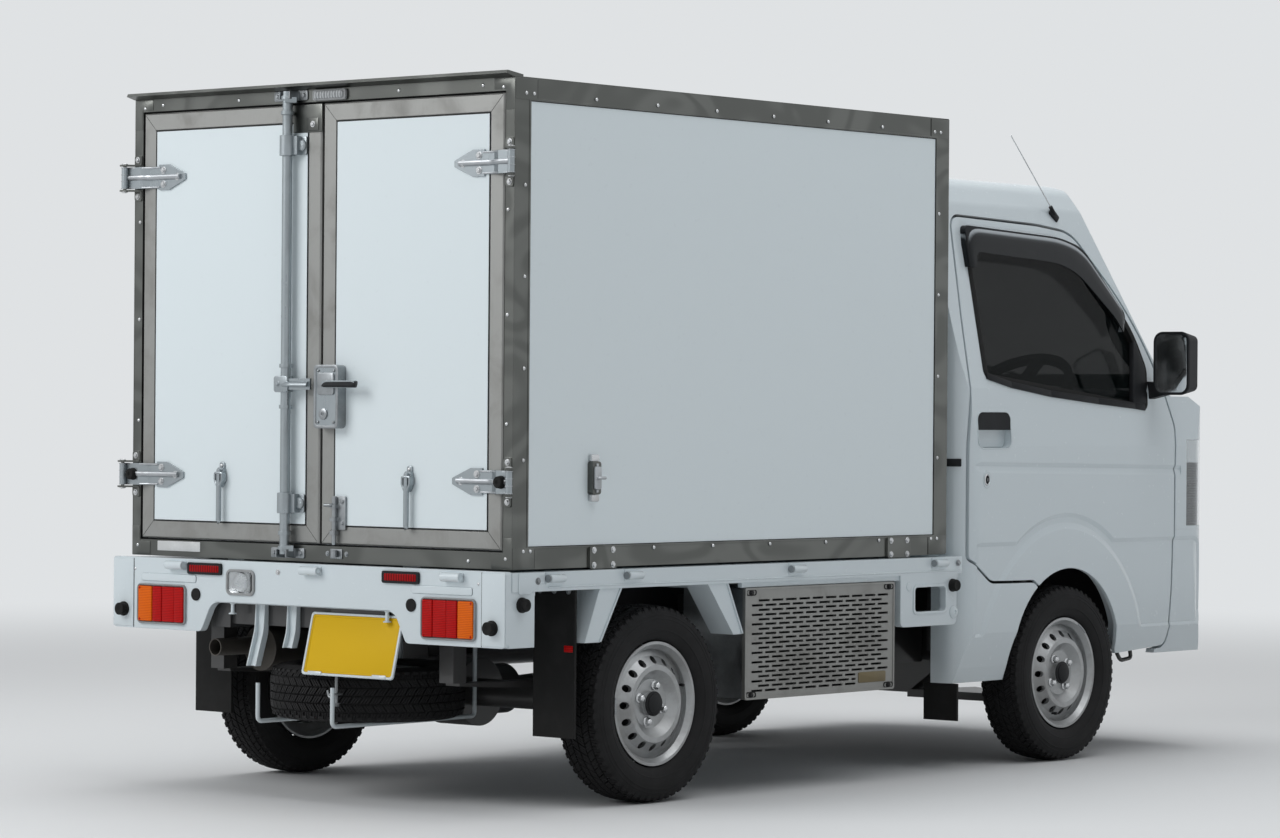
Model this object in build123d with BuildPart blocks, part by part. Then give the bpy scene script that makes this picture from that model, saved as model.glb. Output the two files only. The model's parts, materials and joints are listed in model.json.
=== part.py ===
from build123d import *
import os
from math import cos, radians, sin

os.makedirs("parts", exist_ok=True)

# Small cab-over truck with a cooled box body. Millimetres, +X forward, +Y to the truck's left, +Z up.
# The origin is on the ground, midway between the front of the bumper and the rear of the bed.

# Layout along the truck
wheelbase = 1905
rear_overhang = 632
front_overhang = 858
overall_length = rear_overhang + wheelbase + front_overhang
rear_x = -overall_length / 2
rear_axle_x = rear_x + rear_overhang
front_axle_x = rear_axle_x + wheelbase
front_x = front_axle_x + front_overhang

# Running clearances
shut_gap = 8           # between a door and the opening it closes
seat_gap = 0.3         # between pieces that bear on each other but stay separate
hub_gap = 0.05         # running clearance of a hub on its stub axle

# Wheels
tyre_radius = 265
tyre_width = 145
tyre_wall = 9
rim_radius = 152       # bead seat
flange_radius = 166.5
rim_width = 114        # over the flanges
rim_wall = 5
wheel_hole_count = 16
wheel_hole_radius = 10
wheel_hole_circle = 117
dish_radius = 96
stub_radius = 16
front_track = 1305
rear_track = 1290
axle_z = tyre_radius

# Cab
cab_back_x = front_axle_x - 555
cab_half_width = 737
cab_roof_z = 1768
cab_skin = 30
door_skin = 12
door_depth = 45
glass_thickness = 5
arch_radius = 282
arch_z = 300
arch_shift = -8        # arch centre ahead of the axle
liner_radius = 303     # where the door's inner layer stops round the arch
floor_sheet = 16
platform_z = 622       # seat platform over the front wheels
footwell_z = 400
footwell_x = front_axle_x + 340
splash_y = 425         # inner wall of a front wheel space
cowl_z = 1104
bumper_top_z = 688
screen_foot_x = front_axle_x + 646     # windscreen foot on the centre line
screen_foot_z = 1121
screen_lean = 0.648                    # run back for each unit of height
screen_arc = 2600                      # plan radius of the windscreen
window_foot_y = 722    # the side windows lie in a flat from here
window_foot_z = 1120
window_head_y = 606    # to here
window_head_z = 1668
crease_z = 667         # the side panel sits back below this crease
crease_rise = 12       # height of its sloping edge
panel_step = 7         # how far the side panel sits back
sill_z = 388           # lower edge of the set-back panel
flare_x = front_axle_x - 28
flare_z = 298
flare_radius = 402     # outer edge of the flare round the wheel arch
flare_slope = 20       # width of its sloping edge
belt_z = 905           # groove along the doors, at the cab's back
belt_depth = 6
belt_top = 12          # heights of its two sloping sides
belt_foot = 20
belt_fall = 0.014      # drop for each unit towards the front
belt_front_x = front_axle_x + 600

# Bed
deck_z = 630
deck_thickness = 26
bed_half_width = 737
bed_rail_depth = 50
panel_depth = 22
panel_low_z = 437
panel_mid_z = 518

# Box body
box_rear_x = rear_x + 48
box_cab_gap = 56
box_front_x = cab_back_x - box_cab_gap
box_half_width = 710
box_bottom_z = 636
box_top_z = 1899
box_wall = 50
box_floor_depth = 60
trim_width = 54
trim_sheet = 2
frame_depth = 30
frame_border = 30
frame_foot = 44
frame_head = 34
leaf_depth = 25        # outer layer of a rear door
leaf_step = 12         # the plug behind it is this much smaller at the free edge
plug_depth = 45
seam_y = -20           # where the two rear doors meet
edge_width = 50        # aluminium edge frame on a door
edge_bevel = 4
hinge_pin_y = 724
hinge_pin_x = box_rear_x - 28
hinge_pin_radius = 5
hinge_barrel_radius = 9
hinge_heights = (861, 1682)
strap_height = 60
lock_tube_y = 91
lock_tube_radius = 13.5
lock_tube_x = box_rear_x - 22

# Chassis
rail_y = 330
rail_step = 70         # depth of the low front rails
rail_width = 55
rail_low_z = 450
rail_high_z = 566
kingpin_y = 548
strut_radius = 22


def mirrored(shape):
    return shape.mirror(Plane.XZ)


def inset_line(corners, amount):
    """Closed outline of (a, b, radius) corners, every side moved inwards by amount, as points and radii."""
    count = len(corners)
    area = sum(
        corners[i - 1][0] * corners[i][1] - corners[i][0] * corners[i - 1][1] for i in range(count)
    )
    turn = 1 if area > 0 else -1
    points, radii = [], []
    for i, (a, b, radius) in enumerate(corners):
        before = corners[i - 1]
        after = corners[(i + 1) % count]
        in_a, in_b = a - before[0], b - before[1]
        out_a, out_b = after[0] - a, after[1] - b
        in_length = (in_a**2 + in_b**2) ** 0.5
        out_length = (out_a**2 + out_b**2) ** 0.5
        in_a, in_b = in_a / in_length, in_b / in_length
        out_a, out_b = out_a / out_length, out_b / out_length
        bend = in_a * out_b - in_b * out_a
        half = amount * turn * (in_a * out_a + in_b * out_b - 1) / bend
        points.append((a - in_b * amount * turn + in_a * half, b + in_a * amount * turn + in_b * half))
        convex = bend * turn > 0
        radii.append(max(radius - amount, 0) if convex else (radius + amount if radius else 0))
    return points, radii


def rounded_line(corners, inset):
    points, radii = inset_line(corners, inset)
    FilletPolyline(*points, radius=radii, close=True)


def cab_form(inset, bottom):
    """The cab's closed outer shape, every face moved inwards by inset, down to the height bottom."""
    nose = front_axle_x
    low = bottom - inset
    side_corners = [
        # x, z, radius
        (cab_back_x, low, 0),
        (cab_back_x, cab_roof_z - 30, 60),
        (nose - 130, cab_roof_z, 0),
        (nose + 250, cab_roof_z - 34, 250),
        (screen_foot_x + 12, cowl_z, 0),
        (nose + 770, 1052, 60),
        (nose + 812, 960, 150),
        (nose + 845, 700, 0),
        (nose + front_overhang, 600, 60),
        (nose + front_overhang, 420, 120),
        (nose + 830, 300, 0),
        (nose + 820, low, 0),
    ]
    half_corners = [
        # y, z, radius
        (690, low, 0),
        (705, 300, 0),
        (731, 400, 0),
        (cab_half_width, 620, 0),
        (cab_half_width, 950, 0),
        (window_foot_y, window_foot_z, 0),
        (window_head_y, window_head_z, 60),
        (570, 1742, 60),
        (300, cab_roof_z + 2, 0),
    ]
    end_corners = half_corners + [(-y, z, radius) for y, z, radius in reversed(half_corners)]
    plan_half = [
        # x, y, radius
        (cab_back_x, cab_half_width, 90),
        (nose + 775, cab_half_width, 120),
    ]
    plan_corners = [(x, -y, radius) for x, y, radius in plan_half]
    plan_corners += [(front_x + 32, 0, 2600)]
    plan_corners += [(x, y, radius) for x, y, radius in reversed(plan_half)]
    reach = 800
    sag = reach * reach / (2 * screen_arc)
    slope = (1 + screen_lean**2) ** 0.5
    base_z = cowl_z - inset
    start = screen_foot_x - inset * slope + screen_lean * (screen_foot_z - base_z)
    with BuildPart() as form:
        with BuildSketch(Plane.XZ):
            with BuildLine():
                rounded_line(side_corners, inset)
            make_face()
        extrude(amount=cab_half_width + 60, both=True)
        with BuildSketch(Plane.YZ.offset(front_axle_x)):
            with BuildLine():
                rounded_line(end_corners, inset)
            make_face()
        extrude(amount=front_x - cab_back_x, both=True, mode=Mode.INTERSECT)
        with BuildSketch(Plane.XY.offset(cowl_z)):
            with BuildLine():
                rounded_line(plan_corners, inset)
            make_face()
        extrude(amount=cowl_z, both=True, mode=Mode.INTERSECT)
        # the space ahead of the windscreen, above the cowl
        with BuildSketch(Plane.XY.offset(base_z)):
            with BuildLine():
                ThreePointArc((start - sag, -reach), (start, 0), (start - sag, reach))
                Polyline(
                    (start - sag, reach),
                    (start + 1200, reach),
                    (start + 1200, -reach),
                    (start - sag, -reach),
                )
            make_face()
        extrude(
            amount=(cab_roof_z + 60 - base_z) * slope,
            dir=(-screen_lean, 0, 1),
            mode=Mode.SUBTRACT,
        )
    return form.part


def side_pressing(plain_form):
    """What is pressed in on the left side of the cab: the set-back lower panel and the belt groove."""
    reach = 30
    edge = cab_half_width
    with BuildPart() as pressing:
        with BuildSketch(Plane.YZ.offset(cab_back_x + 70)):
            with BuildLine():
                rise = crease_rise / panel_step
                Polyline(
                    (edge + reach, crease_z + reach * rise),
                    (edge - 2 * panel_step, crease_z - 2 * crease_rise),
                    (edge - reach, sill_z + 44),
                    (edge + reach, sill_z - 76),
                    close=True,
                )
            make_face()
        extrude(amount=front_axle_x + 790 - cab_back_x - 70)
        # groove round the top of the flare, then the flare itself left standing
        with Locations((flare_x, edge, flare_z)):
            outer = flare_radius + 4 * crease_rise
            Cone(outer - reach * rise, outer + reach * rise, 2 * reach, rotation=(-90, 0, 0))
            slope = flare_slope / panel_step
            Cone(
                flare_radius + reach * slope,
                flare_radius - reach * slope,
                2 * reach,
                rotation=(-90, 0, 0),
                mode=Mode.SUBTRACT,
            )
        with BuildSketch(Plane.XY):
            Rectangle(4000, 4000)
        extrude(amount=sill_z - 60, mode=Mode.SUBTRACT)
        add(plain_form, mode=Mode.SUBTRACT)
        with BuildSketch(Plane.YZ.offset(cab_back_x + 30)):
            with BuildLine():
                Polyline(
                    (edge + belt_depth, belt_z + belt_top),
                    (edge - belt_depth, belt_z - belt_top),
                    (edge + belt_depth, belt_z - belt_top - 2 * belt_foot),
                    close=True,
                )
            make_face()
        extrude(amount=belt_front_x - cab_back_x - 30, dir=(1, 0, -belt_fall))
    return pressing.part


print("cab forms")
left_pressing = side_pressing(cab_form(panel_step, 200))
with BuildPart() as styled_form:
    add(cab_form(0, 256))
    add(left_pressing, mode=Mode.SUBTRACT)
    add(mirrored(left_pressing), mode=Mode.SUBTRACT)
outer_form = styled_form.part
inner_form = cab_form(cab_skin, 200)
door_inner_form = cab_form(door_depth, 200)
door_mid_form = cab_form(door_skin, 200)

# Door outline seen from the side, from the rear bottom corner upwards, x from the front axle
door_outline = [
    # dx, z, radius
    (-516, 615, 20),
    (-516, 950, 500),
    (-496, 1324, 800),
    (-470, 1632, 45),
    (-28, 1619, 900),
    (150, 1602, 160),
    (418, 1343, 900),
    (519, 1120, 200),
    (570, 1010, 90),
    (565, 850, 300),
    (565, 500, 300),
    (550, 325, 30),
    (280, 308, 10),
    (200, 420, 10),
    (-120, 500, 10),
    (-194, 547, 25),
    (-405, 549, 60),
    (-500, 611, 20),
]
# Window opening in the door
window_outline = [
    # dx, z, radius
    (-417, 1158, 22),
    (-406, 1588, 40),
    (62, 1567, 500),
    (158, 1540, 110),
    (385, 1310, 300),
    (428, 1190, 60),
    (408, 1072, 12),
    (350, 1077, 500),
]


def side_prism(outline, grow, low_y, high_y):
    """Outline drawn on the truck's side, grown all round by grow, as a block from low_y to high_y."""
    corners = [(front_axle_x + dx, z, radius) for dx, z, radius in outline]
    with BuildPart() as prism:
        with BuildSketch(Plane.XZ.offset(-high_y)):
            with BuildLine():
                rounded_line(corners, -grow)
            make_face()
        extrude(amount=high_y - low_y)
    return prism.part


def arch_cylinder(radius, low_y, high_y):
    with BuildPart() as arch:
        with BuildSketch(Plane.XZ.offset(-high_y)):
            with Locations((front_axle_x + arch_shift, arch_z)):
                Circle(radius)
            with Locations((front_axle_x + arch_shift, arch_z - radius)):
                Rectangle(2 * radius, 2 * radius)
        extrude(amount=high_y - low_y)
    return arch.part


door_opening = side_prism(door_outline, shut_gap / 2, 400, 900)
door_skin_prism = side_prism(door_outline, -shut_gap / 2, 400, 900)
door_core_prism = side_prism(door_outline, -14, 400, 900)
window_hole = side_prism(window_outline, 0, 400, 900)
window_pane = side_prism(window_outline, -seat_gap, 400, 900)
arch_lip = arch_cylinder(arch_radius, 400, 900)
arch_liner = arch_cylinder(liner_radius, 400, 900)

cab_hinge_x = front_axle_x + 505
cab_hinge_y = 718
cab_hinge_heights = (730, 920)
cab_pin_radius = 4
cab_barrel_radius = 6.5
barrel_half = 10       # half height of a door's barrel
ear_half = 18          # half height over the two ears on the cab
ear_reach = 78         # how far in from the pin an ear goes before it turns forward
nose_split_x = front_axle_x + 500      # the nose panels lie ahead of this and below the cowl
nose_low_z = 305
lamp_low_z = 700
lamp_high_z = 968
lamp_inner_y = 440

screen_plane = Plane(
    origin=(screen_foot_x - screen_lean * 280, 0, screen_foot_z + 280),
    x_dir=(0, 1, 0),
    z_dir=(1, 0, screen_lean),
)
screen_foot_half = 640
screen_head_half = 545
screen_half_height = 300
screen_corners = [
    # across, up the slope, radius
    (-screen_foot_half, -screen_half_height, 50),
    (screen_foot_half, -screen_half_height, 50),
    (screen_head_half, screen_half_height, 70),
    (-screen_head_half, screen_half_height, 70),
]


def screen_prism(grow):
    with BuildPart() as prism:
        with BuildSketch(screen_plane):
            with BuildLine():
                rounded_line(screen_corners, -grow)
            make_face()
        extrude(amount=200, both=True)
    return prism.part


rear_window_low_z = 1180
rear_window_high_z = 1540
rear_window_half = 430

print("cab shell")
with BuildPart() as cab_shell:
    add(outer_form)
    add(inner_form, mode=Mode.SUBTRACT)
    add(door_opening, mode=Mode.SUBTRACT)
    add(mirrored(door_opening), mode=Mode.SUBTRACT)
    add(arch_lip, mode=Mode.SUBTRACT)
    add(mirrored(arch_lip), mode=Mode.SUBTRACT)
    add(screen_prism(0), mode=Mode.SUBTRACT)
    with BuildSketch(Plane.YZ.offset(cab_back_x - 5)):
        with Locations((0, (rear_window_low_z + rear_window_high_z) / 2)):
            RectangleRounded(2 * rear_window_half, rear_window_high_z - rear_window_low_z, 50)
    extrude(amount=cab_skin + 10, mode=Mode.SUBTRACT)
    # the nose panels ahead of the doors, and the open space under the floor
    with BuildSketch(Plane.XZ):
        with Locations((nose_split_x, 0)):
            Rectangle(600, cowl_z, align=(Align.MIN, Align.MIN))
    extrude(amount=900, both=True, mode=Mode.SUBTRACT)
    with BuildSketch(Plane.YZ.offset(cab_back_x - 5)):
        Rectangle(1240, platform_z - floor_sheet - 20, align=(Align.CENTER, Align.MIN))
    extrude(amount=cab_skin + 10, mode=Mode.SUBTRACT)
    with BuildSketch(Plane.XZ):
        with Locations((front_axle_x + 150, 0)):
            Rectangle(600, 400, align=(Align.MIN, Align.MIN))
    extrude(amount=900, both=True, mode=Mode.SUBTRACT)
cab_shell.part.label = "cab_shell"
export_step(cab_shell.part, "parts/cab_shell.step")

print("nose")
with BuildPart() as nose_shell:
    add(outer_form)
    add(inner_form, mode=Mode.SUBTRACT)
    with BuildSketch(Plane.XZ):
        with Locations((nose_split_x, nose_low_z)):
            Rectangle(600, cowl_z - nose_low_z, align=(Align.MIN, Align.MIN))
    extrude(amount=900, both=True, mode=Mode.INTERSECT)
    add(door_opening, mode=Mode.SUBTRACT)
    add(mirrored(door_opening), mode=Mode.SUBTRACT)


def lamp_block(grow):
    with BuildPart() as block:
        with BuildSketch(Plane.YZ.offset(front_axle_x + 632 - grow)):
            for side in (-1, 1):
                with Locations((side * (lamp_inner_y + 200), (lamp_low_z + lamp_high_z) / 2)):
                    RectangleRounded(400 + 2 * grow, lamp_high_z - lamp_low_z + 2 * grow, 25 + grow)
        extrude(amount=400)
    return block.part


grille_half = 330
grille_low_z = 820
grille_high_z = 900
with BuildPart() as front_panel:
    add(nose_shell.part)
    with BuildSketch(Plane.XZ):
        with Locations((nose_split_x, bumper_top_z)):
            Rectangle(600, 600, align=(Align.MIN, Align.MIN))
    extrude(amount=900, both=True, mode=Mode.INTERSECT)
    add(lamp_block(seat_gap), mode=Mode.SUBTRACT)
    with BuildSketch(Plane.YZ.offset(front_axle_x + 700)):
        with Locations((0, (grille_low_z + grille_high_z) / 2)):
            RectangleRounded(2 * grille_half, grille_high_z - grille_low_z, 20)
    extrude(amount=300, mode=Mode.SUBTRACT)
    # door hinges: two ears and a pin at each height, reaching round the door's front edge
    for side in (-1, 1):
        for height in cab_hinge_heights:
            for low_z in (height - ear_half, height + barrel_half + seat_gap):
                with BuildSketch(Plane.XY.offset(low_z)):
                    with Locations((cab_hinge_x, side * cab_hinge_y)):
                        Circle(cab_barrel_radius)
                    with Locations((cab_hinge_x, side * (cab_hinge_y - ear_reach / 2))):
                        Rectangle(2 * cab_barrel_radius, ear_reach)
                    with Locations((cab_hinge_x + 50, side * (cab_hinge_y - ear_reach))):
                        Rectangle(100 + 2 * cab_barrel_radius, 10)
                    with Locations((cab_hinge_x + 90, side * (cab_hinge_y - ear_reach / 2 - 2))):
                        Rectangle(26, ear_reach + 10)
                extrude(amount=ear_half - barrel_half - seat_gap)
            with BuildSketch(Plane.XY.offset(height - ear_half)):
                with Locations((cab_hinge_x, side * cab_hinge_y)):
                    Circle(cab_pin_radius)
            extrude(amount=2 * ear_half)
front_panel.part.label = "front_panel"
export_step(front_panel.part, "parts/front_panel.step")

lamp_depth = 55
with BuildPart() as headlamps:
    add(outer_form)
    add(cab_form(lamp_depth, 200), mode=Mode.SUBTRACT)
    add(lamp_block(0), mode=Mode.INTERSECT)
headlamps.part.label = "headlamps"
export_step(headlamps.part, "parts/headlamps.step")

intake_half = 420
intake_low_z = 385
intake_high_z = 500
with BuildPart() as front_bumper:
    add(nose_shell.part)
    with BuildSketch(Plane.XZ):
        with Locations((nose_split_x, 0)):
            Rectangle(600, bumper_top_z, align=(Align.MIN, Align.MIN))
    extrude(amount=900, both=True, mode=Mode.INTERSECT)
    with BuildSketch(Plane.YZ.offset(front_axle_x + 700)):
        with Locations((0, (intake_low_z + intake_high_z) / 2)):
            RectangleRounded(2 * intake_half, intake_high_z - intake_low_z, 25)
    extrude(amount=300, mode=Mode.SUBTRACT)
front_bumper.part.label = "front_bumper"
export_step(front_bumper.part, "parts/front_bumper.step")

slat_depth = 14
with BuildPart() as front_grille:
    add(cab_form(10, 200))
    add(inner_form, mode=Mode.SUBTRACT)
    with BuildSketch(Plane.YZ.offset(front_axle_x + 700)):
        for low_z, high_z, half, radius, bars in (
            (grille_low_z, grille_high_z, grille_half, 20, 3),
            (intake_low_z, intake_high_z, intake_half, 25, 3),
        ):
            height = high_z - low_z
            middle = (low_z + high_z) / 2
            with Locations((0, middle)):
                RectangleRounded(2 * (half - seat_gap), height - 2 * seat_gap, radius - seat_gap)
            pitch = height / (bars + 1)
            with Locations((0, middle)):
                with GridLocations(0, pitch, 1, bars + 1):
                    Rectangle(2 * half - 40, pitch - slat_depth, mode=Mode.SUBTRACT)
    extrude(amount=300, mode=Mode.INTERSECT)
front_grille.part.label = "front_grille"
export_step(front_grille.part, "parts/front_grille.step")

with BuildPart() as cab_glass:
    add(cab_form(8, 200))
    add(cab_form(8 + glass_thickness, 190), mode=Mode.SUBTRACT)
    add(screen_prism(-seat_gap), mode=Mode.INTERSECT)
    with BuildSketch(Plane.YZ.offset(cab_back_x + 8)):
        with Locations((0, (rear_window_low_z + rear_window_high_z) / 2)):
            RectangleRounded(
                2 * (rear_window_half - seat_gap),
                rear_window_high_z - rear_window_low_z - 2 * seat_gap,
                50 - seat_gap,
            )
    extrude(amount=glass_thickness)
cab_glass.part.label = "cab_glass"
export_step(cab_glass.part, "parts/cab_glass.step")

print("cab floor")
toe_foot_x = front_axle_x + 720
sheet = floor_sheet
door_zone_x = front_axle_x - 525
door_zone = 1105
door_room_y = cab_half_width - door_depth - 18     # fittings inside stay within this beside a door
swing_radius = 64      # kept free round the door hinge for the door's front edge
floor_corners = [
    # x, z, radius
    (cab_back_x, platform_z, 0),
    (cab_back_x, platform_z - sheet, 0),
    (footwell_x - sheet, platform_z - sheet, 30),
    (footwell_x - sheet, footwell_z - sheet, 28),
    (toe_foot_x, footwell_z - sheet, 30),
    (toe_foot_x + 70, footwell_z + 170, 0),
    (toe_foot_x + 54, footwell_z + 176, 0),
    (toe_foot_x - 8, footwell_z, 14),
    (footwell_x, footwell_z, 12),
    (footwell_x, platform_z, 40),
]
with BuildPart() as cab_floor:
    with BuildSketch(Plane.XZ):
        with BuildLine():
            rounded_line(floor_corners, 0)
        make_face()
    extrude(amount=cab_half_width + 20, both=True)
    # inner walls of the front wheel spaces
    for side in (-1, 1):
        with BuildSketch(Plane.XZ.offset(-side * splash_y)):
            with BuildLine():
                Polyline(
                    (front_axle_x - 300, 330),
                    (front_axle_x - 300, platform_z - sheet / 2),
                    (footwell_x - sheet / 2, platform_z - sheet / 2),
                    (footwell_x - sheet / 2, footwell_z - sheet / 2),
                    (front_axle_x + 300, 330),
                    close=True,
                )
            make_face()
        extrude(amount=6, both=True)
    add(cab_form(cab_skin, 200), mode=Mode.INTERSECT)
    # clear of the doors' inner layers
    with BuildSketch(Plane.XY):
        for side in (-1, 1):
            with Locations((door_zone_x, side * door_room_y)):
                Rectangle(door_zone, 200, align=(Align.MIN, Align.MIN if side > 0 else Align.MAX))
            with Locations((cab_hinge_x, side * cab_hinge_y)):
                Circle(swing_radius)
    extrude(amount=cab_roof_z, mode=Mode.SUBTRACT)
cab_floor.part.label = "cab_floor"
export_step(cab_floor.part, "parts/cab_floor.step")

print("dashboard and seats")
wheel_centre = (front_axle_x + 225, -360, 1105)
wheel_tilt = 38
column_plane = Plane(
    origin=wheel_centre,
    x_dir=(0, 1, 0),
    z_dir=(-cos(radians(90 - wheel_tilt)), 0, sin(radians(90 - wheel_tilt))),
)
with BuildPart() as dashboard:
    with BuildSketch(Plane.XZ):
        with BuildLine():
            FilletPolyline(
                (front_axle_x + 425, 1065),
                (front_axle_x + 395, 960),
                (front_axle_x + 450, 800),
                (front_axle_x + 620, 760),
                (front_axle_x + 620, cowl_z),
                (front_axle_x + 570, cowl_z),
                radius=[40, 40, 60, 10, 0, 0],
                close=True,
            )
        make_face()
    extrude(amount=door_room_y, both=True)
    add(cab_form(cab_skin, 200), mode=Mode.INTERSECT)
    # room for the door hinges and the door's front edge as it swings in
    with BuildSketch(Plane.XY.offset(700)):
        for side in (-1, 1):
            with Locations((cab_hinge_x - 70, side * (cab_hinge_y - ear_reach - 14))):
                Rectangle(200, 200, align=(Align.MIN, Align.MIN if side > 0 else Align.MAX))
    extrude(amount=500, mode=Mode.SUBTRACT)
    with BuildSketch(column_plane.offset(-20)):
        Circle(32)
    extrude(amount=-360)
    with BuildSketch(column_plane):
        Circle(185 + 13)
        Circle(185 - 13, mode=Mode.SUBTRACT)
        Circle(48)
        for turn in (20, 160, 270):
            with Locations((115 * cos(radians(turn)), 115 * sin(radians(turn)))):
                Rectangle(150, 30, rotation=turn)
    extrude(amount=12, both=True)
    with BuildSketch(column_plane.offset(-32)):
        Circle(30)
    extrude(amount=34)
dashboard.part.label = "dashboard"
export_step(dashboard.part, "parts/dashboard.step")

seat_y = 335
seat_width = 500
seat_points = [
    (front_axle_x - 500, platform_z + 60, 30),
    (front_axle_x + 40, platform_z + 60, 40),
    (front_axle_x + 60, platform_z + 180, 50),
    (front_axle_x - 330, platform_z + 160, 50),
    (front_axle_x - 400, platform_z + 640, 20),
    (front_axle_x - 395, platform_z + 690, 20),
    (front_axle_x - 385, platform_z + 860, 40),
    (front_axle_x - 480, platform_z + 870, 40),
    (front_axle_x - 490, platform_z + 640, 40),
]
with BuildPart() as seats:
    for side in (-1, 1):
        with BuildSketch(Plane.XZ.offset(-side * seat_y)):
            with BuildLine():
                points = [(x, z) for x, z, _ in seat_points]
                FilletPolyline(*points, radius=[radius for _, _, radius in seat_points], close=True)
            make_face()
        extrude(amount=seat_width / 2, both=True)
        with BuildSketch(Plane.XY.offset(platform_z + seat_gap)):
            with Locations((front_axle_x - 210, side * seat_y)):
                Rectangle(420, 380)
        extrude(amount=60)
seats.part.label = "seats"
export_step(seats.part, "parts/seats.step")

print("cab doors")
mirror_dx = 400
mirror_arm_dx = 434
mirror_z = 1205
recess_dx = -400       # door handle recess, from the front axle
recess_z = 997
recess_length = 166
recess_height = 106
recess_radius = 26
recess_depth = 26
paddle_height = 52     # the paddle fills the upper part of the recess
paddle_sheet = 8
visor_gap = 17         # between the window visor and the door skin
visor_sheet = 3
visor_flange_height = 5
visor_outline = [
    # dx, z, radius
    (-430, 1488, 4),
    (-430, 1603, 20),
    (62, 1583, 500),
    (172, 1556, 120),
    (352, 1352, 28),
    (314, 1309, 6),
    (286, 1345, 100),
    (120, 1478, 120),
    (20, 1506, 200),
    (-396, 1526, 10),
    (-404, 1488, 4),
]


def recess_block(inset):
    with BuildPart() as block:
        with BuildSketch(Plane.XZ.offset(-(cab_half_width + 20))):
            with Locations((front_axle_x + recess_dx, recess_z)):
                RectangleRounded(
                    recess_length - 2 * inset, recess_height - 2 * inset, recess_radius - inset
                )
        extrude(amount=20 + recess_depth - inset)
    return block.part


def window_band(near, far):
    """Sheet outside the flat of the left side windows, from near to far off it."""
    rise = window_head_z - window_foot_z
    lean = window_foot_y - window_head_y
    length = (rise**2 + lean**2) ** 0.5
    corners = []
    for y, z, reach in (
        (window_foot_y, window_foot_z, near),
        (window_foot_y, window_foot_z, far),
        (window_head_y, window_head_z, far),
        (window_head_y, window_head_z, near),
    ):
        corners.append((y + reach * rise / length, z + reach * lean / length))
    with BuildPart() as band:
        with BuildSketch(Plane.YZ.offset(cab_back_x)):
            with BuildLine():
                Polyline(*corners, close=True)
            make_face()
        extrude(amount=nose_split_x - cab_back_x)
    return band.part


def make_cab_door():
    with BuildPart() as skin:
        add(outer_form)
        add(door_mid_form, mode=Mode.SUBTRACT)
        add(door_skin_prism, mode=Mode.INTERSECT)
        add(arch_lip, mode=Mode.SUBTRACT)
    with BuildPart() as core:
        add(door_mid_form)
        add(door_inner_form, mode=Mode.SUBTRACT)
        add(door_core_prism, mode=Mode.INTERSECT)
        add(arch_liner, mode=Mode.SUBTRACT)
    with BuildPart() as door:
        add(skin.part)
        add(core.part)
        add(window_hole, mode=Mode.SUBTRACT)
        add(recess_block(0), mode=Mode.SUBTRACT)
        # pockets behind the skin for the hinges, each with the door's own barrel
        for height in cab_hinge_heights:
            with BuildSketch(Plane.XY.offset(height - ear_half - 10)):
                with Locations((cab_hinge_x - 14, cab_half_width - door_skin)):
                    Rectangle(120, 80, align=(Align.MIN, Align.MAX))
            extrude(amount=2 * ear_half + 20, mode=Mode.SUBTRACT)
            with BuildSketch(Plane.XY.offset(height - barrel_half)):
                with Locations((cab_hinge_x, cab_hinge_y)):
                    Circle(cab_barrel_radius)
                with Locations((cab_hinge_x, (cab_hinge_y + cab_half_width - door_skin + 2) / 2)):
                    Rectangle(2 * cab_barrel_radius, cab_half_width - door_skin + 2 - cab_hinge_y)
            extrude(amount=2 * barrel_half)
            with BuildSketch(Plane.XY.offset(height - barrel_half)):
                with Locations((cab_hinge_x, cab_hinge_y)):
                    Circle(cab_pin_radius + hub_gap)
            extrude(amount=2 * barrel_half, mode=Mode.SUBTRACT)
    return door.part


left_door = make_cab_door()
with BuildPart() as left_pane:
    add(cab_form(18, 200))
    add(cab_form(18 + glass_thickness, 190), mode=Mode.SUBTRACT)
    add(window_pane, mode=Mode.INTERSECT)


with BuildPart() as left_trim:
    # mirror housing with its arm, on the door's front corner
    with BuildSketch(Plane.YZ.offset(front_axle_x + mirror_dx)):
        with Locations((cab_half_width + 92, mirror_z)):
            RectangleRounded(128, 195, 30)
    extrude(amount=64, taper=10)
    with BuildSketch(Plane.YZ.offset(front_axle_x + mirror_arm_dx)):
        with BuildLine():
            Polyline(
                (cab_half_width - 26, 1092),
                (cab_half_width + 60, 1112),
                (cab_half_width + 60, 1140),
                (cab_half_width - 26, 1150),
                close=True,
            )
        make_face()
    extrude(amount=34)
    add(outer_form, mode=Mode.SUBTRACT)

with BuildPart() as left_paddle:
    add(recess_block(seat_gap))
    paddle_low_z = recess_z + recess_height / 2 - paddle_height
    paddle_face_y = cab_half_width - 5
    with BuildSketch(Plane.YZ.offset(front_axle_x + recess_dx)):
        with BuildLine():
            Polyline(
                (cab_half_width - recess_depth, recess_z + recess_height / 2),
                (paddle_face_y, recess_z + recess_height / 2),
                (paddle_face_y, paddle_low_z),
                (paddle_face_y - paddle_sheet, paddle_low_z),
                (paddle_face_y - paddle_sheet, recess_z + recess_height / 2 - 14),
                (cab_half_width - recess_depth, recess_z + recess_height / 2 - 14),
                close=True,
            )
        make_face()
    extrude(amount=recess_length, both=True, mode=Mode.INTERSECT)

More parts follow.
